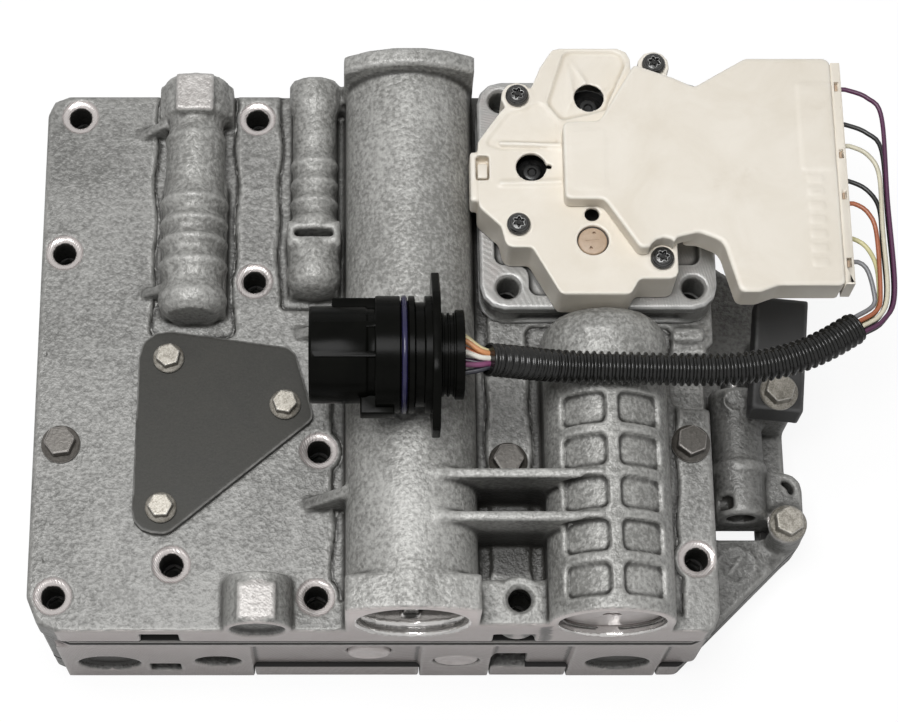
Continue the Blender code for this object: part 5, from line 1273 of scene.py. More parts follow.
@dataclass
class Connector:
    """Round black plug socket that lies along X, with its keys, ring, flange and pins."""

    front: float = -46.0
    back: float = 7.5
    y: float = -22.0
    z: float = 129.2
    shell: float = 16.9
    collar: float = 20.4

    def body(self) -> bpy.types.Object:
        """The moulded body with its socket, grooves, keys and eared flange."""
        start = (self.front, self.y, self.z)
        length = self.back - self.front
        shell, collar = self.shell, self.collar
        profile = [
            (0.0, shell - 0.5), (0.7, shell), (19.4, shell), (20.4, shell - 0.6), (22.8, shell - 0.6),
            (22.8, collar), (31.3, collar), (31.3, 18.6), (34.2, 18.6), (34.2, collar), (36.4, collar),
            (36.4, 18.2), (39.8, 18.2), (39.8, collar), (42.6, collar), (42.6, 13.8), (50.3, 13.8),
            (50.3, 15.6), (length, 15.6),
        ]
        made = Shape().turned(profile, start, Axis.X, 96, 0.3).object("connector_shell")
        ears = rounded(
            [
                (28.9, -5.0, 4.0), (28.9, 5.0, 4.0), (14.0, 21.3, 12.0), (-14.0, 21.3, 12.0),
                (-28.9, 5.0, 4.0), (-28.9, -5.0, 4.0), (-14.0, -21.3, 12.0), (14.0, -21.3, 12.0),
            ],
            8,
        )
        ears = [(self.y + u, self.z + v) for u, v in ears]
        more = Shape().prism(ears, self.front + 42.2, self.front + 45.1, Axis.X, 0.5)
        more.block((self.front + 7.8, self.y + 13.0, self.z - 5.4), (self.front + 23.8, self.y + 19.2, self.z + 5.4), 0.6)
        more.block((self.front + 17.6, self.y - 22.4, self.z - 2.9), (self.front + 29.4, self.y - 13.0, self.z + 2.9), 0.6)
        for angle in (70, 110, 250, 290):
            y = self.y + (shell - 1.0) * math.cos(math.radians(angle))
            z = self.z + (shell - 1.0) * math.sin(math.radians(angle))
            more.block((self.front + 1.6, y - 1.1, z - 1.1), (self.front + 23.5, y + 1.1, z + 1.1), 0.3)
        for x in (43.6, 45.6, 47.6):
            more.turned([(0.0, 14.6), (0.9, 14.6)], (self.front + x + 2.0, self.y, self.z), Axis.X, 72, 0.2)
        boolean(made, more, "UNION")
        hollow = Shape().turned([(-2.0, 14.4), (20.0, 14.4), (20.0, 12.0)], start, Axis.X, 72)
        hollow.turned([(0.0, 12.6), (8.0, 12.6)], (self.back - 6.0, self.y, self.z), Axis.X, 72)
        for angle in (20, 160, 200, 340):
            y = self.y + 25.4 * math.copysign(1.0, math.cos(math.radians(angle)))
            hollow.rod((self.front + 41.0, y, self.z), Axis.X, 2.2, 6.0, 24)
        boolean(made, hollow, "DIFFERENCE")
        return dress(made, BLACK, Slot.BLACK, ["connector_body"])

    def pins(self) -> bpy.types.Object:
        """Contact pins in the socket."""
        master = Shape().turned([(0.0, 0.9), (7.0, 0.9), (8.4, 0.35)], (0, 0, 0), Axis.X, 14)
        rows = ((-6.0, 4), (-2.0, 5), (2.0, 5), (6.0, 4))
        places = []
        for z, count in rows:
            for k in range(count):
                places.append((self.front + 12.4, self.y + (k - (count - 1) / 2) * 3.9, self.z + z))
        made = Repeats.copies("connector_pins", master, places, [0.0] * len(places), STEEL)
        return dress(made, STEEL, Slot.STEEL)

    def insert(self) -> bpy.types.Object:
        """The grey block that holds the pins at the bottom of the socket."""
        start = (self.front + 11.0, self.y, self.z)
        made = Shape().turned([(0.0, 11.4), (7.0, 11.4), (7.0, 13.9), (9.2, 13.9)], start, Axis.X, 64, 0.4).object("socket_insert")
        return dress(made, CHARCOAL, Slot.BLACK)

    def seal(self) -> bpy.types.Object:
        """The round ring in its groove."""
        made = Shape().ring((self.front + 32.75, self.y, self.z), 19.75, 1.12, Axis.X)
        obj = made.object("connector_ring")
        settle_smooth(obj)
        return dress(obj, SEAL, Slot.SEAL, ["connector_seal"])

    def build(self) -> list[bpy.types.Object]:
        """Builds the connector and returns its pieces."""
        return [self.body(), self.insert(), self.pins(), self.seal()]


def settle_smooth(obj: bpy.types.Object, levels: int = 1) -> bpy.types.Object:
    """Subdivides a coarse round piece once and keeps the result."""
    modifier = obj.modifiers.new("Subdivision", "SUBSURF")
    modifier.levels = levels
    modifier.render_levels = levels
    return settle(obj)


@dataclass
class Harness:
    """The loom across the barrels, its seven wires and the wires at the connector's back."""

    loom_route: tuple[Point, ...] = (
        (15.9, -23.6, 128.8), (20.5, -23.2, 126.6), (26.5, -22.4, 122.6), (33.0, -21.6, 118.4),
        (41.0, -21.0, 114.8), (50.0, -20.8, 113.0), (60.7, -20.9, 112.6), (73.0, -21.1, 112.2),
        (86.0, -21.2, 111.6), (99.0, -21.0, 111.0), (110.0, -19.9, 110.6), (120.0, -17.9, 110.2),
        (129.5, -14.8, 109.9), (137.5, -11.0, 109.6), (143.5, -7.4, 109.3), (148.6, -4.2, 109.0),
    )
    loom: float = 10.4
    pitch: float = 2.6
    wire: float = 1.7
    level: float = 1.25
    spread: float = 2.1
    first_y: float = 88.0
    step_y: float = 11.4
    lane_outer: float = 163.0
    lane_pitch: float = 2.6
    lift: float = 1.6
    strip: float = 148.0
    gap: float = 0.3
    shortest: float = 31.0
    colours: tuple[Colour, ...] = (
        (0.075, 0.012, 0.055), (0.012, 0.012, 0.012), (0.72, 0.68, 0.53), (0.012, 0.012, 0.012),
        (0.40, 0.125, 0.055), (0.70, 0.66, 0.36), (0.22, 0.22, 0.23),
    )
    tails: tuple[Colour, ...] = (
        (0.74, 0.66, 0.38), (0.66, 0.30, 0.13), (0.45, 0.13, 0.05), (0.85, 0.82, 0.74), (0.03, 0.01, 0.03),
        (0.20, 0.05, 0.13), (0.02, 0.02, 0.03),
    )

    def wire_finish(self, name: str, colour: Colour) -> Finish:
        """The finish of one wire's insulation."""
        dark = tuple(0.8 * c for c in colour)
        return Finish(name, dark, colour, rough=0.36, patch=9.0, grain=0.5, speckle=0.1, bump=0.004)

    def wire_route(self, index: int) -> list[Point]:
        """One wire's points, from the terminal strip round into the loom's end."""
        lane, row = divmod(index, 2)
        level = self.level if row == 0 else -self.level
        end = Vector(self.loom_route[-1])
        outward = (end - Vector(self.loom_route[-2])).normalized()
        across = Vector((outward.y, -outward.x, 0.0)).normalized()
        mouth = end + outward * self.gap + across * self.spread * (1.5 - lane)
        mouth.z = end.z + level
        turn = mouth + outward * 9.0
        turn.z = mouth.z
        x = self.lane_outer - self.lane_pitch * lane
        y = self.first_y - self.step_y * index
        z = mouth.z
        top = z + (self.lift if row == 0 else -self.lift)
        points = [
            (self.strip + self.gap, y, top),
            (self.strip + 3.0, y - 0.3, top),
            (0.6 * x + 0.4 * (self.strip + 3.0), y - 3.5, top),
            (x, y - 11.0, (top + z) / 2),
        ]
        if y > 50.0:
            points.append((x, (y + 2.0) / 2, z))
        if y > 22.0:
            points.append((x, 9.0, z))
        return [*points, tuple(turn), tuple(mouth)]

    def curve(self, name: str, points: Sequence[Vector], diameter: float) -> bpy.types.Object:
        """A round wire along points, as a curve of one spline."""
        data = bpy.data.curves.new(name, "CURVE")
        data.dimensions = "3D"
        data.bevel_depth = diameter * MM / 2
        data.bevel_resolution = 4
        data.use_fill_caps = True
        spline = data.splines.new("POLY")
        spline.points.add(len(points) - 1)
        for point, place in zip(spline.points, points):
            point.co = (*(Vector(place) * MM), 1.0)
        spline.use_smooth = True
        return linked(name, data)

    def wires(self) -> list[bpy.types.Object]:
        """The seven wires from the terminal strip into the loom.

        Returns:
            Those too short to be cords of their own.
        """
        short = []
        for index in range(7):
            route = smooth_route(self.wire_route(index), self.wire * 1.1)
            made = self.curve(f"wire_{index + 1}_insulation", route, self.wire)
            finish = self.wire_finish(f"insulation_{index + 1}", self.colours[index])
            made.data.materials.append(finish.build())
            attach(made, "casing")
            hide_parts(f"wire_{index + 1}")
            length = sum((b - a).length for a, b in zip(route, route[1:]))
            LOG.info("wire %d: %.1f mm", index + 1, length)
            if length < self.shortest:
                short.append(made)
                continue
        return short

    def back_wires(self) -> list[bpy.types.Object]:
        """Short wires between the connector and the loom."""
        made = []
        start, first = Vector((2.9, -22.0, 129.2)), Vector(self.loom_route[0])
        along = (Vector(self.loom_route[1]) - first).normalized()
        for index, colour in enumerate(self.tails):
            offset = 3 - index
            rise = (0.8, 2.6, 0.4, 3.0, 0.6, 2.4, 0.2)[index]
            points = [
                start + Vector((0.0, 2.25 * offset, rise)),
                start + Vector((4.6, 2.2 * offset, rise)),
                first + Vector((-3.2, 1.35 * offset, 0.4 + 0.7 * rise)),
                first + Vector((0.0, 0.95 * offset, 0.45 * rise)),
                first + along * 3.0 + Vector((0.0, 0.9 * offset, 0.4 * rise)),
            ]
            wire = self.curve(f"tail_wire_{index + 1}", smooth_route(points, 1.0), 2.0)
            wire.data.materials.append(self.wire_finish(f"tail_insulation_{index + 1}", colour).build())
            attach(wire, "casing")
            made.append(wire)
        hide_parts("connector_wires")
        return made

    def loom_sleeve(self, pieces: Sequence[bpy.types.Object]) -> None:
        """The corrugated sleeve."""
        route = smooth_route(self.loom_route, 1.5)
        made = Repeats.sleeve("loom_sleeve", route, self.loom / 2 + 0.2, 0.5, self.pitch, LOOM)
        dress(made, LOOM, Slot.BLACK, ["loom_tube"], sharp=ROUND)
        path = list(reversed(route))
        length = sum((b - a).length for a, b in zip(path, path[1:]))
        LOG.info("loom: %.1f mm", length)

    def build(self) -> None:
        """Builds the connector, its back wires, the seven wires and the loom sleeve."""
        pieces = Connector().build()
        self.loom_sleeve([*pieces, *self.back_wires(), *self.wires()])


# ---- castings ----


@dataclass
class UpperCasting:
    """Upper casting: plate, main barrel, ribbed barrel, two small barrels, stub and webs."""

    main: Point = (-9.9, 85.0, 23.0)
    ribbed: Point = (60.7, 83.5, 22.0)
    small: Point = (-90.2, 80.6, 12.5)
    slim: Point = (-45.3, 80.3, 8.7)
    stub: Point = (-64.9, 74.2, 12.2)
    bore: float = 18.7
    holes: tuple[Flat, ...] = (
        (-135.4, 95.6), (-139.4, 39.3), (-67.4, 94.8), (-67.7, 27.8), (-138.4, -93.5), (-96.2, -81.7),
        (-44.1, -93.8), (-43.3, -38.8), (93.0, -79.6),
    )
    boss_hole: Flat = (28.3, -97.0)
    rib_pitch: float = 15.6
    rib_first: float = -101.1
    panel: float = 12.0
    panel_deep: float = 1.6
    panel_corner: float = 2.4
    panel_sweep: Flat = (5.5, 52.0)
    webs: Flat = (-57.4, -73.0)
    melt: Melt = Melt(voxel=0.72, passes=6, fill=0.85, wear=0.2, faces=150_000)

    def ringed(self, crests: Sequence[float], radius: float, dip: float) -> list[Flat]:
        """Profile of rounded rings between the first and the last crest."""
        profile: list[Flat] = []
        for low, high in zip(crests, crests[1:]):
            for i in range(8):
                share = i / 8
                drop = 0.5 - 0.5 * math.cos(2 * math.pi * share)
                profile.append((low + (high - low) * share, radius - dip * drop**0.8))
        profile.append((crests[-1], radius))
        return profile

    def barrels(self) -> Shape:
        """Smooth versions of the barrels, laid over the facets of the CAD ones."""
        shape = Shape()
        x, z, r = self.main
        shape.rod((x, FRONT + 0.6, z), Axis.Y, r + 0.45, 209.4, 160)
        x, z, r = self.ribbed
        profile = [
            (FRONT + 0.6, r + 0.4), (-12.0, r + 0.4), (-8.0, r + 0.9), (-3.0, r + 1.3), (0.5, r + 0.6), (3.5, r - 1.6),
            (6.0, r - 5.4), (7.6, r - 10.4), (8.0, r - 16.0),
        ]
        shape.turned(profile, (x, 0.0, z), Axis.Y, 128)
        x, z, r = self.small
        profile = [(10.8, r - 5.0), (11.4, r - 2.6), (13.0, r - 0.6)]
        profile += self.ringed((16.8, 29.7, 38.6, 46.2, 54.8), r + 0.5, 2.5)
        profile += [(58.5, r - 1.6), (62.0, r - 2.0), (66.0, r - 1.5), (78.0, r - 1.4), (81.0, r - 0.9), (84.0, r - 2.2)]
        profile += [(88.0, r - 2.4), (92.0, r - 1.0), (97.0, r), (104.2, r)]
        shape.turned(profile, (x, 0.0, z), Axis.Y, 96)
        x, z, r = self.slim
        profile = [(42.0, r)] + self.ringed((47.6, 54.8, 62.5, 70.6), r + 0.5, 2.1)
        profile += [(74.6, r - 1.3), (77.0, r - 1.2), (80.0, r - 0.5), (89.0, r - 0.4), (92.0, r - 1.4)]
        profile += [(94.6, r - 1.2), (97.0, r + 0.6), (104.2, r + 0.9)]
        shape.turned(profile, (x, 0.0, z), Axis.Y, 72)
        bulb = [(19.2, 3.0), (19.8, 6.4), (21.4, 8.6), (24.0, 9.9), (28.0, 10.2), (32.0, 9.4), (35.0, 7.9), (37.0, 7.6), (42.0, 8.2)]
        shape.turned(bulb, (x, 0.0, z), Axis.Y, 72)
        x, z, r = self.stub
        shape.rod((x, FRONT + 0.6, z), Axis.Y, r, 18.2, 96)
        x, y = self.boss_hole
        shape.turned([(60.0, 9.4), (81.6, 8.6), (82.2, 8.0)], (x, y, 0.0), Axis.Z, 64)
        for x, y in BASE_HOLES[1:3]:
            shape.turned([(60.0, 8.0), (72.4, 8.0)], (x, y, 0.0), Axis.Z, 48)
        for y in self.webs:
            side = [(-6.4, 90.0), (57.0, 90.0), (57.0, 105.6), (44.0, 106.3), (6.0, 106.3), (-0.5, 107.6), (-6.4, 107.9)]
            shape.prism(side, y - 1.7, y + 1.7, Axis.Y)
        return shape

    def marks(self) -> Shape:
        """Cast features on the plate: raised pads, a date dial and ejector marks."""
        shape = Shape()
        top = PLATE_TOP
        shape.prism(rounded([(17.6, -50.5, 1.0), (33.8, -50.5, 1.0), (33.8, -33.5, 3.6), (17.6, -33.5, 3.6)]), top - 1, top + 0.2)
        dial = (-67.2, 71.6, top)
        shape.ring((dial[0], dial[1], top - 0.05), 6.6, 0.62)
        shape.prism([(dial[0] - 5.6, dial[1] - 2.6), (dial[0] + 5.4, dial[1] + 2.0), (dial[0] + 5.0, dial[1] + 3.0), (dial[0] - 6.0, dial[1] - 1.6)], top - 1, top + 0.55)
        for dx, dy in ((-1.2, -3.6), (2.8, -2.2)):
            shape.turned([(-1.0, 1.0), (0.5, 0.8)], (dial[0] + dx, dial[1] + dy, top), Axis.Z, 20)
        for x, y, r in ((-141.8, 88.8, 1.5), (-140.6, 46.8, 1.4), (-98.3, -74.4, 2.0)):
            shape.turned([(-1.0, r + 0.8), (0.32, r + 0.3)], (x, y, top), Axis.Z, 24)
        shape.prism(rounded([(86.0, 3.4, 2.0), (99.4, 3.4, 1.0), (99.4, 8.4, 1.0), (88.4, 8.4, 2.0)]), top - 1, top + 2.2)
        shape.prism(rounded([(-116.6, -28.0, 2.0), (-112.4, -28.0, 2.0), (-112.4, 6.0, 2.0), (-116.6, 6.0, 2.0)]), top - 1, top + 0.25)
        return shape

    def cutters(self) -> Shape:
        """Round bores, holes with chamfers and spot faces."""
        shape = Shape()
        x, z, _ = self.main
        shape.turned(
            [(-2.0, 20.3), (0.0, 20.3), (0.7, 19.6), (4.3, 19.6), (4.3, self.bore), (120.0, self.bore)],
            (x, FRONT, z), Axis.Y, 128,
        )
        shape.block((x - 2.7, FRONT + 8.0, 60.0), (x + 2.7, FRONT + 16.0, z))
        x, z, _ = self.ribbed
        shape.turned([(-2.0, 19.5), (0.0, 19.5), (0.6, 18.9), (14.0, 18.9), (14.0, 16.6), (88.0, 16.6)], (x, FRONT, z), Axis.Y, 128)
        x, z, _ = self.stub
        shape.turned([(-2.0, 10.2), (0.0, 10.2), (0.5, 9.9), (2.6, 9.6)], (x, FRONT, z), Axis.Y, 96)
        x, z, _ = self.slim
        shape.block((x - 7.3, 39.65, 72.5), (x + 7.3, 42.75, 110.0))
        for x, y in self.holes:
            top = PLATE_TOP - 0.7
            shape.turned([(-30.0, 4.1), (top - 1.1, 4.1), (top, 5.2), (top, 7.0), (top + 6.0, 7.4)], (x, y, 0.0), Axis.Z, 48)
        x, y = self.boss_hole
        shape.turned([(-30.0, 4.1), (80.9, 4.1), (82.0, 5.3), (90.0, 5.3)], (x, y, 0.0), Axis.Z, 48)
        for x, y in BASE_HOLES:
            shape.rod((x, y, 40.0), Axis.Z, 4.1, 40.0, 48)
        return shape

    def panels(self) -> Shape:
        """The shallow pockets between the ribs of the ribbed barrel."""
        shape = Shape()
        for row in range(5):
            start = self.rib_first + row * self.rib_pitch
            for side in (1, -1):
                shape.add(self.pocket(start, side), Matrix.Identity(4))
        return shape

    def pocket(self, start: float, side: int) -> bmesh.types.BMesh:
        """One curved pocket's cutter.

        Args:
            start: Where the pocket starts along Y.
            side: 1 for the barrel's right, -1 for its left.

        Returns:
            The closed cutter, whose floor follows the barrel.
        """
        x, z, r = self.ribbed
        part = bmesh.new()
        first, last = self.panel_sweep
        corner = self.panel_corner
        stations = []
        for step in range(33):
            swing = first + (last - first) * step / 32
            edge = math.radians(min(swing - first, last - swing)) * r
            inset = corner - math.sqrt(max(corner**2 - max(corner - edge, 0.0) ** 2, 0.0))
            angle = math.radians(90 - side * swing)
            ring = []
            for reach, along in (
                (r - self.panel_deep, inset), (r - self.panel_deep, self.panel - inset),
                (r + 3.0, self.panel - inset), (r + 3.0, inset),
            ):
                ring.append(part.verts.new((
                    x + reach * math.cos(angle), start + along, z + reach * math.sin(angle),
                )))
            stations.append(ring)
        for low, high in zip(stations, stations[1:]):
            for k in range(4):
                part.faces.new((low[k], low[(k + 1) % 4], high[(k + 1) % 4], high[k]))
        part.faces.new(stations[0])
        part.faces.new(stations[-1])
        return part

    def hold(self, places: np.ndarray) -> np.ndarray:
        """Keeps the milled front, the bores and the hole rims crisp."""
        x, y, z = places.T
        kept = 1.0 - ramp(y, FRONT + 0.4, FRONT + 2.0)
        for hx, hy in (*self.holes, self.boss_hole):
            away = np.hypot(x - hx, y - hy)
            kept = np.maximum(kept, 1.0 - ramp(away, 7.2, 8.6))
        for bx, bz, reach in ((self.main[0], self.main[1], 20.4), (self.ribbed[0], self.ribbed[1], 19.4)):
            inside = 1.0 - ramp(np.hypot(x - bx, z - bz), reach, reach + 0.6)
            kept = np.maximum(kept, inside * (y < FRONT + 122.0))
        around = np.hypot(x - self.ribbed[0], z - self.ribbed[1])
        ribs = ramp(around, 19.6, 20.0) * (1.0 - ramp(around, 22.6, 23.6)) * (1.0 - ramp(y, -24.0, -18.0))
        return 0.92 * np.maximum(kept, 0.6 * ribs)

    def moat(self, places: np.ndarray) -> np.ndarray:
        """Sinks the plate's skin along the barrels' feet, as the mould leaves it."""
        x, y, z = places.T
        feet = (
            (self.small[0], 12.2, 9.0, 103.0), (self.slim[0], 10.2, 19.0, 103.0), (self.main[0], 25.2, -92.0, 104.0),
            (self.ribbed[0], 23.6, -104.0, 6.0),
        )
        away = np.full(len(places), 99.0)
        for centre, half, near, far in feet:
            dx = np.maximum(np.abs(x - centre) - half, 0.0)
            dy = np.maximum(np.maximum(near - y, y - far), 0.0)
            away = np.minimum(away, np.hypot(dx, dy))
        wobble = 0.5 * np.sin(y * 0.21) + 0.4 * np.sin(y * 0.093 + x * 0.05)
        sink = (1.0 - ramp(away, 2.9 + wobble, 3.9 + wobble)) * (1.0 - ramp(z, 73.4, 77.0)) * ramp(z, 70.0, 72.2)
        sink *= 1.0 - ramp(-y, 98.0, 103.0)
        for hx, hy in self.holes:
            sink *= ramp(np.hypot(x - hx, y - hy), 7.4, 8.6)
        swell = np.where(z > 71.0, 0.10 * np.sin(x * 0.11 + 1.3) * np.sin(y * 0.09), 0.0)
        moved = places.copy()
        moved[:, 2] += swell * (1.0 - ramp(z, 73.0, 75.0)) - 1.5 * sink
        return moved

    def milled(self, places: np.ndarray, normals: np.ndarray) -> np.ndarray:
        """Where the front, the bores, the spot faces and the pads are machined."""
        x, y, z = places.T
        share = 0.9 * (1.0 - ramp(y, FRONT + 0.25, FRONT + 0.6)) * (normals[:, 1] < -0.4)
        for hx, hy in (*self.holes, self.boss_hole):
            away = np.hypot(x - hx, y - hy)
            share = np.maximum(share, 0.955 * (1.0 - ramp(away, 6.6, 7.2)) * (z > 71.0) * (z < 78.0))
        share = np.maximum(share, (np.abs(x - self.small[0]) < 7.3) * (y > 88.4) * (z > 92.6) * 0.2)
        share = np.maximum(share, (np.abs(x - self.stub[0]) < 7.3) * (y < -90.9) * (z > 86.3) * 0.22)
        for bx, bz, reach, start, deep in (
            (*self.main[:2], 20.6, 0.0, 5.0), (*self.main[:2], 19.1, 5.0, 124.0),
            (*self.ribbed[:2], 19.3, 0.0, 14.4), (*self.ribbed[:2], 17.0, 14.4, 92.0),
        ):
            inside = (np.hypot(x - bx, z - bz) < reach) * (y < FRONT + deep) * (y >= FRONT + start)
            share = np.maximum(share, inside)
        return share

    def painted_shade_and_dark_joint(self, places: np.ndarray) -> np.ndarray:
        """Painted shade that darkens the casting in the holes, the pit, the hollow by the pack, beside the ribbed
        barrel and down the port.
        """
        x, y, z = places.T
        share = np.zeros(len(places))
        # painted shade inside the bolt holes, below the plate's top
        for hx, hy in (*self.holes, *BASE_HOLES):
            share = np.maximum(share, (np.hypot(x - hx, y - hy) < 5.0) * (z < PLATE_TOP - 1.5))
        share = np.maximum(share, (np.hypot(x - self.boss_hole[0], y - self.boss_hole[1]) < 5.0) * (z < 80.4))
        # painted shade in the pit between the main and the ribbed barrel
        pit = ramp(x, 10.0, 16.0) * (1.0 - ramp(x, 35.0, 40.0)) * ramp(y, -88.0, -84.0) * (1.0 - ramp(y, -59.0, -57.6))
        share = np.maximum(share, 0.85 * pit * (1.0 - ramp(z, 84.0, 102.0)))
        # painted shade in the hollow by the solenoid pack
        hollow = ramp(x, 9.0, 13.0) * (1.0 - ramp(x, 17.0, 20.0)) * ramp(y, 4.0, 12.0)
        share = np.maximum(share, 0.95 * hollow * (1.0 - ramp(z, 88.0, 100.0)))
        # painted shade at the foot beside the ribbed barrel
        beside = ramp(x, 34.0, 37.0) * (1.0 - ramp(x, 39.5, 41.0)) * (1.0 - ramp(y, 0.0, 8.0))
        share = np.maximum(share, 0.7 * beside * (1.0 - ramp(z, 76.0, 92.0)))
        # painted shade down the port slot
        port = (np.abs(x - self.main[0]) < 2.9) * (y > FRONT + 7.6) * (y < FRONT + 16.4) * (z < 68.0)
        return np.maximum(share, port)

    def build(self) -> None:
        """Builds the upper casting."""
        made = Shape("upper_body").object("upper_casting")
        boolean(made, self.barrels(), "UNION")
        boolean(made, self.marks(), "UNION")
        boolean(made, self.panels(), "DIFFERENCE")
        boolean(made, self.cutters(), "DIFFERENCE")
        self.melt.apply(made, self.hold, self.milled, self.moat, self.painted_shade_and_dark_joint)
        dress(made, CASTING, Slot.CAST, ["upper_body"], sharp=ROUND)


@dataclass
class LowerCasting:
    """Lower casting with the row of front bores and the low right side."""

    bores: tuple[Point, ...] = ((-81.3, 24.0, 8.6), (-24.9, 35.4, 8.3), (7.8, 25.2, 8.7))
    recesses: tuple[Point, ...] = ((-122.2, 21.0, 11.7), (68.6, 21.5, 12.0))
    lug: Flat = (133.2, -56.0)
    mark_at: Flat = (115.5, -68.9)
    melt: Melt = Melt(voxel=0.85, passes=5, fill=0.8, wear=0.2, faces=110_000)

    def extras(self) -> Shape:
        """Round cast mark, lug collar, small bosses and side ribs."""
        shape = Shape()
        x, y = self.mark_at
        shape.ring((x, y, 22.0), 7.0, 0.75)
        shape.prism([(x - 3.4, y - 3.0), (x - 2.4, y - 3.8), (x + 3.0, y + 4.0), (x + 2.0, y + 4.8)], 21.0, 22.8)
        shape.ring((x + 2.6, y - 2.8, 22.0), 1.7, 0.5)
        shape.turned([(0.0, 7.9), (17.6, 7.5), (18.4, 7.2)], (*self.lug, 17.2), Axis.Z, 48)
        profile = [
            (-53.4, 9.0), (-52.6, 9.6), (-38.0, 9.6), (-36.6, 10.6), (-33.6, 10.8), (-31.8, 9.7), (-12.0, 9.6), (-5.0, 10.0), (-3.9, 9.6),
        ]
        shape.turned(profile, (116.0, 0.0, 33.5), Axis.Y, 96)
        shape.ring((114.6, -9.6, 42.9), 4.0, 0.6)
        shape.turned([(-1.0, 1.2), (0.4, 0.9)], (115.4, -9.6, 42.9), Axis.Z, 20)
        for index, place in enumerate((-82.0, -30.0, 22.0, 74.0)):
            shape.block((-149.1, place - 2.6, 18.5 + 0.2 * index), (-144.0, place + 2.6, 51.0), 0.5)
        for index, place in enumerate((-110.0, -56.0, 20.0, 66.0)):
            shape.block((place - 2.6, 101.0, 18.5 + 0.2 * index), (place + 2.6, 105.8, 51.0), 0.5)
        return shape

    def cutters(self) -> Shape:
        """Round versions of the front recesses and bores."""
        shape = Shape()
        for x, z, r in self.bores:
            shape.turned([(-2.0, r + 0.5), (0.0, r + 0.5), (0.5, r), (26.0, r)], (x, FRONT, z), Axis.Y, 72)
        for x, z, r in self.recesses:
            shape.turned([(-2.0, r + 0.3), (0.0, r + 0.3), (0.4, r), (2.6, r - 0.3), (3.0, r - 1.2)], (x, FRONT, z), Axis.Y, 72)
        shape.rod((116.0, -60.0, 33.5), Axis.Y, 5.4, 60.0, 48)
        shape.block((106.2, -51.8, 36.0), (112.4, -46.2, 46.0), 0.4)
        shape.rod((126.9, -56.15, -4.0), Axis.Z, 2.25, 38.0, 32)
        return shape

    def hold(self, places: np.ndarray) -> np.ndarray:
        """Keeps the milled front and the gasket face crisp."""
        kept = 1.0 - ramp(places[:, 1], FRONT + 2.6, FRONT + 4.0)
        return 0.92 * np.maximum(kept, (places[:, 2] > LOWER_TOP - 0.3) * 1.0)

    def milled(self, places: np.ndarray, normals: np.ndarray) -> np.ndarray:
        """Where the front and the lug are machined."""
        x, y, z = places.T
        share = 0.9 * (1.0 - ramp(y, FRONT + 2.0, FRONT + 2.4)) * (normals[:, 1] < -0.4)
        for hx, hz, r in self.recesses:
            share = share * (np.hypot(x - hx, z - hz) > r - 0.4)
        share = share * (z < LOWER_TOP - 1.0)
        lug = (np.hypot(x - self.lug[0], y - self.lug[1]) < 7.3) * (z > 34.5)
        return np.maximum(share, 0.7 * lug)

    def painted_shade_and_dark_joint(self, places: np.ndarray) -> np.ndarray:
        """Dark joint face under the gasket, and painted shade in the manual valve's bore and window and in the front
        recesses.
        """
        x, y, z = places.T
        share = 0.95 * (z > LOWER_TOP - 1.2)
        # painted shade in the manual valve's bore and window
        share = np.maximum(share, (np.hypot(x - 116.0, z - 33.5) < 8.2) * (y < -38.0) * (y > -53.3) * (x < 122.0))
        # painted shade in the front recesses
        for hx, hz, r in self.recesses:
            share = np.maximum(share, 0.7 * (np.hypot(x - hx, z - hz) < r - 0.2) * (y > FRONT + 1.4) * (y < FRONT + 12.0))
        return share

    def build(self) -> None:
        """Builds the lower casting."""
        made = Shape("lower_body").object("lower_casting")
        boolean(made, self.extras(), "UNION")
        boolean(made, self.cutters(), "DIFFERENCE")
        self.melt.apply(made, self.hold, self.milled, painted_shade_and_dark_joint=self.painted_shade_and_dark_joint)
        dress(made, CASTING, Slot.CAST, ["lower_body"], sharp=ROUND)


@dataclass
class Stack:
    """Bottom cover, gaskets, separator plate and the three-cornered plate."""

    melt: Melt = Melt(voxel=0.9, passes=4, fill=0.7, wear=0.25, faces=70_000)

    def cover(self) -> None:
        """The cast bottom cover with ribs in its pockets."""
        made = Shape("bottom_cover").object("bottom_cover_casting")
        ribs = Shape()
        for x in (-96.0, -20.6, 54.8):
            ribs.block((x - 1.5, -64.0, 0.6), (x + 1.5, 85.0, 4.0), 0.4)
        boolean(made, ribs, "UNION")
        self.melt.apply(
            made, lambda p: 0.9 * (1.0 - ramp(p[:, 1], FRONT + 0.4, FRONT + 2.0)),
            lambda p, n: 0.85 * (1.0 - ramp(p[:, 1], FRONT + 0.3, FRONT + 0.7)),
        )
        dress(made, CASTING, Slot.CAST, ["bottom_cover"], sharp=ROUND)

    def access_plate(self) -> None:
        """The steel plate with eased edges."""
        made = Shape("access_plate").object("access_plate_steel")
        Melt(voxel=0.45, passes=2, fill=0.5, wear=0.5, faces=190_000, gain=2.2).apply(made)
        dress(made, PLATE, Slot.PLATE, ["access_plate"], sharp=ROUND)

    def build(self) -> None:
        """Builds the cover and the plate, and dresses the thin sheets."""
        self.cover()
        self.access_plate()
        for name in ("upper_gasket", "lower_gasket", "cover_gasket"):
            dress_node(name, GASKET)
        dress_node("separator_plate", SEPARATOR)


# ---- fasteners ----


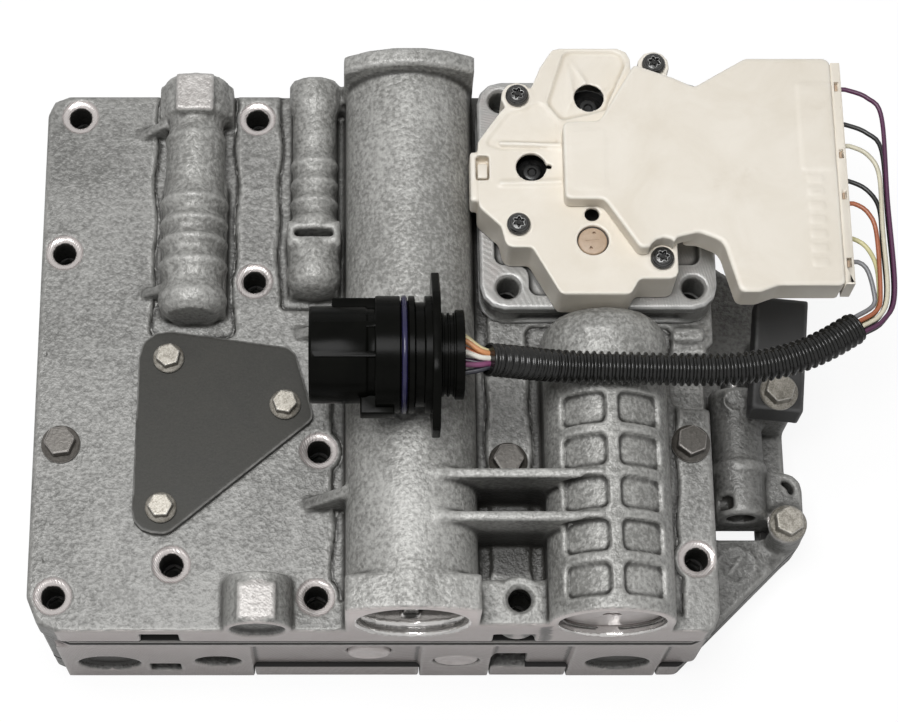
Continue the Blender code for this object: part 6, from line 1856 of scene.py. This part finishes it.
@dataclass
class Fasteners:
    """Flanged hexagon bolts and Torx screws."""

    body_bolts: tuple[str, ...] = ("body_bolt_left", "body_bolt_right", "body_bolt_recess")
    side_bolts: tuple[str, ...] = ("lug_bolt", "block_bolt")
    plate_bolts: tuple[str, ...] = ("plate_bolt_1", "plate_bolt_2", "plate_bolt_3")
    screws: tuple[str, ...] = ("torx_screw_1", "torx_screw_2", "torx_screw_3", "torx_screw_4")

    def head(self, across: float) -> Shape:
        """A hexagon head with a rounded top, a shallow dish in it and a round flange."""
        ratio = across / 10.0
        tall, flange = 6.0 * ratio, 7.2 * ratio
        rim = [
            (0.0, flange * 0.98), (0.25, flange), (0.75, flange), (1.2, flange * 0.93), (1.7, flange * 0.80),
            (2.1, flange * 0.70),
        ]
        base = Shape().turned(rim, (0, 0, 0), Axis.Z, 48).object("head")
        hexagon = arc((0, 0), across / math.sqrt(3), 0, 300, 5)
        hexed = Shape().prism(hexagon, 0.8, tall, Axis.Z, 0.45 * ratio).object("hexagon")
        cone = Shape().turned(
            [(0.0, across * 0.62), (tall - 1.1 * ratio, across * 0.60), (tall - 0.5 * ratio, across * 0.56), (tall + 0.1, across * 0.50)],
            (0, 0, 0.1), Axis.Z, 48,
        )
        boolean(hexed, cone, "INTERSECT")
        boolean(base, self.shape_of(hexed), "UNION")
        Melt(voxel=0.2, passes=2, fill=0.6, wear=0.5, faces=30_000, gain=2.5, blurs=1).apply(base)
        return self.shape_of(base)

    @staticmethod
    def shape_of(obj: bpy.types.Object) -> Shape:
        """Takes an object back into a shape."""
        made = Shape()
        part = bmesh.new()
        part.from_mesh(obj.data)
        made.add(part, Matrix.Scale(1 / MM, 4), recalc=False)
        mesh = obj.data
        bpy.data.objects.remove(obj)
        bpy.data.meshes.remove(mesh)
        return made

    def flanged(
        self, name: str, nodes: Sequence[str], across: float, turns: Sequence[float], finish: Finish,
    ) -> None:
        """One piece of flanged bolts that stands for several nodes."""
        tall = 6.0 * across / 10.0
        places = []
        shanks = Shape()
        for node in nodes:
            low, high, middle = middle_of(node)
            seat = high.z - tall
            places.append((middle.x, middle.y, seat))
            shanks.rod((middle.x, middle.y, low.z), Axis.Z, 0.29 * across, seat - low.z + 0.6, 20)
        made = Repeats.copies(name, self.head(across), places, turns, finish)
        self.join(made, shanks)
        values, where = edge_values(made, 2.2, 1), places_of(made)
        flat = normals_of(made)[:, 2] > 0.97
        for x, y, seat in places:
            near = np.hypot(where[:, 0] - x, where[:, 1] - y) < 0.47 * across
            values = np.where(flat & near & (where[:, 2] > seat + 0.9 * tall), 0.24, values)
            rim = ~near & (where[:, 2] < seat + 0.3 * tall) & (np.hypot(where[:, 0] - x, where[:, 1] - y) < across)
            values = np.where(rim, np.maximum(values, 0.8), values)
        mark(made, "edge", values)
        dress(made, finish, Slot.ZINC, nodes)

    def join(self, obj: bpy.types.Object, shape: Shape) -> None:
        """Adds a shape's solids to a mesh without merging them."""
        bm = bmesh.new()
        bm.from_mesh(obj.data)
        shape.bm.transform(Matrix.Scale(MM, 4))
        mesh = bpy.data.meshes.new("more")
        shape.bm.to_mesh(mesh)
        shape.bm.free()
        bm.from_mesh(mesh)
        bpy.data.meshes.remove(mesh)
        bm.to_mesh(obj.data)
        bm.free()

    def torx(self) -> None:
        """The housing's screws: domed heads with a six-lobed recess."""
        dome = [
            (0.0, 3.9), (0.3, 4.3), (1.2, 4.3), (1.9, 4.05), (2.5, 3.5), (2.95, 2.7), (3.15, 1.9), (3.2, 0.0),
        ]
        head = Shape().turned(dome, (0, 0, 0), Axis.Z, 48).object("screw")
        star = []
        for i in range(48):
            angle = 2 * math.pi * i / 48
            star.append(((1.85 + 0.42 * math.cos(6 * angle)) * math.cos(angle), (1.85 + 0.42 * math.cos(6 * angle)) * math.sin(angle)))
        boolean(head, Shape().prism(star, 1.3, 6.0), "DIFFERENCE")
        Melt(voxel=0.12, passes=1, fill=0.5, wear=0.5, faces=12_000, blurs=1).apply(head)
        master = self.shape_of(head)
        master.turned([(0.0, 0.75), (0.9, 0.6)], (0, 0, 1.2), Axis.Z, 16)
        places, shanks = [], Shape()
        for node in self.screws:
            low, high, middle = middle_of(node)
            places.append((middle.x, middle.y, high.z - 3.2))
            shanks.rod((middle.x, middle.y, low.z), Axis.Z, 1.9, high.z - 3.0 - low.z, 16)
        made = Repeats.copies("torx_screws", master, places, (12, 40, 25, 5), SCREW)
        self.join(made, shanks)
        mark_edges(made, 2.2, 1)
        dress(made, SCREW, Slot.SCREW, self.screws)

    def build(self) -> None:
        """Builds all fasteners."""
        self.flanged("body_bolts", self.body_bolts, 10.0, (8, 22, 0), DARK_ZINC)
        self.flanged("side_bolts", self.side_bolts, 10.0, (34, 12), ZINC)
        self.flanged("plate_bolts", self.plate_bolts, 8.0, (18, 50, 3), ZINC)
        self.torx()


# ---- moving hydraulics ----


@dataclass
class Hydraulics:
    """Pistons, springs, plugs, cap and valves, each on the body that moves it."""

    piston_travel: float = 30.0
    accumulator_travel: float = 22.0
    spool_travel: float = 9.0
    piston_groove: float = 1.6

    def piston(self, node: str) -> None:
        """A ground piston with a raised nose, a land and a seal groove."""
        start, radius, long = round_of(node)
        groove = self.piston_groove
        profile = [
            (0.0, radius - 9.0), (0.0, radius - 5.0), (1.4, radius - 5.0), (1.4, radius - 0.5), (1.9, radius),
            (6.0, radius), (6.0, radius - groove), (8.6, radius - groove), (8.6, radius), (11.0, radius),
            (11.0, radius - 0.5), (12.2, radius - 0.5), (12.2, radius), (long, radius),
        ]
        made = Shape().turned(profile, start, Axis.Y, 96, 0.22).object(f"{node}_turned")
        boolean(made, Shape().turned([(-1.0, 3.4), (0.0, 3.4), (0.9, 2.6), (3.0, 2.6)], start, Axis.Y, 48), "DIFFERENCE")
        dress(made, STEEL, Slot.STEEL, [node], body=node)

    def spring(self, node: str, travel: float, wire: float, turns: float) -> None:
        """A coil in the place of the spring node."""
        start, radius, long = round_of(node)
        made = Repeats.coil(f"{node}_coil", start, radius - wire / 2, wire, long, turns, SPRING)
        dress(made, SPRING, Slot.SPRING, [node], sharp=ROUND)
        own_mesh(made)

    def cap(self) -> None:
        """The round cap of the ribbed barrel, with its slot and snap ring."""
        low, high, middle = middle_of("accumulator_cap")
        radius = (high.x - low.x) / 2
        start = (middle.x, low.y, middle.z)
        profile = [(0.0, radius - 0.9), (0.25, radius - 0.35), (0.8, radius), (7.6, radius), (7.6, 9.0), (9.4, 9.0)]
        made = Shape().turned(profile, start, Axis.Y, 96, 0.12).object("accumulator_cap_turned")
        cut = Shape().block((middle.x - 2.6, low.y - 1.0, middle.z - 0.9), (middle.x + 2.6, low.y + 1.0, middle.z + 0.9))
        for dx in (-2.6, 0.0, 2.6):
            cut.rod((middle.x + dx, low.y - 1.0, middle.z - 1.2), Axis.Y, 0.8, 1.7, 16)
        boolean(made, cut, "DIFFERENCE")
        dress(made, CAP, Slot.STEEL, ["accumulator_cap"])
        low, high, middle = middle_of("cap_snap_ring")
        radius = (high.x - low.x) / 2
        sweep = [math.radians(a) for a in range(-168, 169, 6)]
        reach, along = radius - 0.4, (low.y + high.y) / 2
        points = [(middle.x + reach * math.sin(a), along, middle.z + reach * math.cos(a)) for a in sweep]
        ring = Shape().tube(points, 0.34, 8).object("cap_snap_ring_wire")
        dress(ring, SPRING, Slot.STEEL, ["cap_snap_ring"], sharp=ROUND)

    def plugs(self) -> None:
        """The three bore plugs with dished faces."""
        for index in (1, 2, 3):
            node = f"valve_plug_{index}"
            start, radius, long = round_of(node)
            profile = [
                (0.5, radius - 3.0), (0.0, radius - 2.2), (0.0, radius - 0.9), (0.6, radius), (7.5, radius),
                (7.5, radius - 3.2), (9.3, radius - 3.2), (9.3, radius), (long, radius),
            ]
            made = Shape().turned(profile, start, Axis.Y, 72, 0.15).object(f"{node}_turned")
            dress(made, CAP if index > 1 else ZINC, Slot.STEEL, [node])
            dress_node(f"plug_clip_{index}", ZINC)
            dress_node(f"valve_spool_{index}", STEEL)

    def manual(self) -> None:
        """The manual valve with its lands and end groove."""
        start, radius, long = round_of("manual_valve")
        neck = radius * 0.6
        profile = [
            (0.0, radius), (9.0, radius), (9.0, neck), (16.0, neck), (16.0, radius), (28.0, radius), (28.0, neck),
            (34.0, neck), (34.0, radius), (long - 5.0, radius), (long - 5.0, neck), (long - 2.4, neck),
            (long - 2.4, radius), (long, radius),
        ]
        made = Shape().turned(profile, start, Axis.Y, 64, 0.3).object("manual_valve_turned")
        dress(made, STEEL, Slot.STEEL, ["manual_valve"], body="manual_valve")

    def build(self) -> None:
        """Builds the hydraulic pieces."""
        self.piston("main_piston")
        self.piston("accumulator_piston")
        self.spring("main_spring", self.piston_travel, 3.0, 5.0)
        self.spring("accumulator_spring", self.accumulator_travel, 2.6, 4.0)
        for index in (1, 2, 3):
            self.spring(f"valve_spring_{index}", self.spool_travel, 1.6, 6.0)
        self.cap()
        self.plugs()
        self.manual()


# ---- solenoid pack ----


@dataclass
class SolenoidPack:
    """Cast base, cream housing, lead cover, terminal strip and what shows through them."""

    top: float = 108.5
    lead_top: float = 116.4
    sights: tuple[Flat, ...] = ((56.3, 86.7), (34.3, 58.4))
    disc: Flat = (55.9, 29.5)
    screws: tuple[Flat, ...] = ((29.7, 86.6), (80.5, 99.4), (29.1, 35.3), (80.5, 22.0))
    soft: Melt = Melt(voxel=0.5, passes=4, fill=0.7, wear=0.4, faces=120_000, gain=4.0)

    def base(self) -> None:
        """The cast base under the housing, with its rim and corner bosses."""
        made = Shape("solenoid_base").object("solenoid_base_casting")
        top = 88.8
        pocket = Shape()
        pocket.prism(
            rounded([(21.5, 28.0, 3.0), (34.0, 28.0, 5.0), (34.0, 16.0, 3.0), (84.0, 16.0, 3.0), (84.0, 28.0, 5.0), (97.0, 28.0, 3.0), (97.0, 86.0, 3.0), (84.0, 86.0, 5.0), (84.0, 97.0, 3.0), (34.5, 97.0, 3.0), (34.5, 84.5, 5.0), (21.5, 84.5, 3.0)]),
            top - 3.4, top + 4.0,
        )
        lip = Shape()
        for x, y in BASE_HOLES:
            lip.turned([(0.0, 8.0), (top - 73.0 - 0.4, 7.6)], (x, y, 73.0), Axis.Z, 48)
        boolean(made, pocket, "DIFFERENCE")
        boolean(made, lip, "UNION")
        holes = Shape()
        for x, y in BASE_HOLES:
            holes.turned([(60.0, 4.1), (top - 1.3, 4.1), (top - 0.35, 5.0), (top + 3.0, 5.0)], (x, y, 0.0), Axis.Z, 48)
        for x, y in self.screws:
            holes.rod((x, y, 70.0), Axis.Z, 2.3, 30.0, 24)
        boolean(made, holes, "DIFFERENCE")
        Melt(voxel=0.6, passes=5, fill=0.8, wear=0.3, faces=90_000).apply(
            made, None, lambda p, n: 0.9 * (n[:, 2] > 0.5) * (p[:, 2] > top - 4.5),
        )
        dress(made, DARK_CASTING, Slot.CAST, ["solenoid_base"], sharp=ROUND)

    def housing(self) -> None:
        """The cream moulding with its lobes, bands, latch and openings."""
        made = Shape("solenoid_housing").object("solenoid_housing_moulding")
        top = self.top
        cut = Shape()
        lobe = rounded([(40.6, 84.0, 3.0), (47.4, 105.2, 3.0), (69.6, 105.2, 5.0), (70.0, 98.0, 3.0), (63.6, 81.6, 3.0), (46.0, 77.0, 3.0)])
        cut.prism(lobe, top - 1.0, top + 2.0)
        cut.prism(rounded([(16.6, 67.0, 2.0), (26.0, 80.0, 2.0), (38.6, 84.8, 2.0), (44.6, 76.0, 2.0), (44.6, 65.6, 2.0), (24.0, 65.0, 3.0)]), top - 0.55, top + 2.0)
        cut.rod((*self.sights[0], top - 8.0), Axis.Z, 5.5, 12.0, 48)
        cut.rod((*self.sights[1], top - 8.0), Axis.Z, 5.5, 12.0, 48)
        cut.prism([(38.0, 57.4), (42.0, 57.9), (42.0, 59.4), (38.0, 59.8)], top - 8.0, top + 3.0)
        cut.rod((*self.disc, top - 8.0), Axis.Z, 5.75, 12.0, 48)
        cut.rod((55.9, 39.7, top - 1.2), Axis.Z, 2.7, 4.0, 32)
        boolean(made, cut, "DIFFERENCE")
        more = Shape()
        for y, lean in ((66.2, 0.8), (51.6, -0.6)):
            more.prism([(22.5, y + lean), (45.5, y), (45.5, y + 1.5), (22.5, y + lean + 1.5)], top - 1.0, top + 0.75, bevel=0.3)
        more.prism(rounded([(62.4, 82.4, 1.0), (70.6, 100.6, 1.0), (71.8, 100.0, 1.0), (63.6, 81.6, 1.0)]), top - 1.4, top + 0.5)
        for x, y in self.screws:
            more.ring((x, y, top - 0.12), 5.1, 0.42)
        more.ring((*self.disc, top - 0.1), 6.1, 0.35)
        boolean(made, more, "UNION")
        self.soft.apply(made)
        dress(made, CREAM, Slot.CREAM, ["solenoid_housing"], sharp=ROUND)
        tab = Shape().block((14.7, 54.2, top - 3.2), (18.3, 59.8, top - 0.5), 0.5).object("latch_tab")
        dress(tab, CREAM, Slot.CREAM)

    def lead_cover(self) -> None:
        """The cover over the lead frame with its faint raised panels."""
        made = Shape("lead_cover").object("lead_cover_moulding")
        top = self.lead_top
        more = Shape()
        more.prism(rounded([(131.8, 53.9, 0.8), (143.7, 53.9, 0.8), (143.7, 88.2, 0.8), (131.8, 88.2, 0.8)]), top - 1.0, top + 0.35)
        more.prism(rounded([(48.4, 46.2, 1.5), (60.8, 46.2, 1.5), (60.8, 69.6, 1.5), (48.4, 69.6, 1.5)]), top - 1.0, top + 0.12)
        for y in (16.5, 22.0, 27.5, 33.0, 38.5, 44.0, 49.0):
            more.block((133.4, y, top - 1.0), (138.8, y + 2.6, top + 0.3), 0.2)
        boolean(made, more, "UNION")
        seam = Shape().block((126.0, 8.0, top - 0.35), (126.35, 53.0, top + 1.0))
        boolean(made, seam, "DIFFERENCE")
        self.soft.apply(made)
        dress(made, CREAM, Slot.CREAM, ["lead_cover"], sharp=ROUND)

    def strip(self) -> None:
        """The terminal strip with latch windows and the wires' mouths."""
        low, high, _ = middle_of("terminal_strip")
        made = Shape("terminal_strip").object("terminal_strip_moulding")
        cut = Shape()
        for index in range(7):
            y = 88.0 - 11.4 * index
            rise = 1.25 + 1.6 if index % 2 == 0 else -1.25 - 1.6
            cut.rod((high.x - 0.8, y, 109.0 + rise), Axis.X, 1.5, 3.0, 24)
        for index in range(18):
            y = 12.4 + 4.75 * index
            cut.block((high.x - 0.35, y, low.z + 1.4), (high.x + 1.0, y + 0.6, high.z - 1.4))
        boolean(made, cut, "DIFFERENCE")
        ease = made.modifiers.new("Bevel", "BEVEL")
        ease.width = 0.2 * MM
        ease.segments = 2
        ease.limit_method = "ANGLE"
        ease.angle_limit = math.radians(40)
        settle(made)
        dress(made, CREAM, Slot.CREAM, ["terminal_strip"])
        tabs = Shape()
        for y in (87.1, 60.3, 44.1, 17.7):
            tabs.block((145.7, y - 1.3, high.z - 2.6), (high.x - 1.3, y + 1.3, high.z - 1.0), 0.3)
        tab = tabs.object("strip_latches")
        dress(tab, TAN, Slot.TAN)

    def solenoids(self) -> None:
        """Solenoid caps in the openings, near-black as painted shade of the openings, and the tan adjuster disc."""
        for index in (1, 2, 3):
            node = f"solenoid_{index}"
            low, high, middle = middle_of(node)
            radius = (high.x - low.x) / 2
            tall = high.z - low.z
            profile = [
                (0.0, radius), (tall - 6.0, radius), (tall - 5.0, radius - 0.8), (tall - 4.6, 6.2), (tall - 2.8, 5.6),
                (tall - 2.4, 4.4), (tall - 1.2, 3.4), (tall - 0.8, 3.2), (tall - 0.8, 1.6), (tall - 1.6, 1.4),
                (tall - 1.6, 0.0),
            ]
            made = Shape().turned(profile, (middle.x, middle.y, low.z), Axis.Z, 64, 0.15).object(f"{node}_can")
            dress(made, PAINTED_SHADE_CAPS, Slot.SCREW, [node])
        low, high, middle = middle_of("adjuster_disc")
        radius = (high.x - low.x) / 2
        tall = high.z - low.z
        profile = [(0.0, radius), (tall - 0.7, radius), (tall - 0.25, radius - 0.3), (tall, radius - 0.9), (tall - 0.05, 0.0)]
        made = Shape().turned(profile, (middle.x, middle.y, low.z), Axis.Z, 64).object("adjuster_disc_turned")
        cut = Shape().rod((middle.x + 0.5, middle.y + 3.0, high.z - 1.4), Axis.Z, 0.62, 3.0, 20)
        cut.rod((middle.x - 0.7, middle.y - 2.8, high.z - 1.4), Axis.Z, 0.62, 3.0, 20)
        cut.prism([(middle.x - 2.6, middle.y - 0.2), (middle.x + 2.2, middle.y + 0.3), (middle.x + 2.2, middle.y + 0.6), (middle.x - 2.6, middle.y + 0.1)], high.z - 0.25, high.z + 1.0)
        boolean(made, cut, "DIFFERENCE")
        dress(made, TAN, Slot.TAN, ["adjuster_disc"])

    def block(self) -> None:
        """The charcoal support block with eased edges."""
        made = Shape("support_block").object("support_block_moulding")
        Melt(voxel=0.6, passes=4, fill=0.6, wear=0.4, faces=30_000, gain=4.0).apply(made)
        dress(made, CHARCOAL, Slot.CHARCOAL, ["support_block"], sharp=ROUND)

    def build(self) -> None:
        """Builds the pack."""
        self.base()
        self.housing()
        self.lead_cover()
        self.strip()
        self.solenoids()
        self.block()


def main() -> None:
    """Builds the scene, sub-assembly by sub-assembly."""
    logging.basicConfig(level=logging.INFO, format="%(name)s: %(message)s")
    for made in (
        Studio(), Harness(), UpperCasting(), LowerCasting(), Stack(), Fasteners(), Hydraulics(), SolenoidPack(),
    ):
        made.build()
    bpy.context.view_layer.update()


if __name__ == "__main__":
    main()
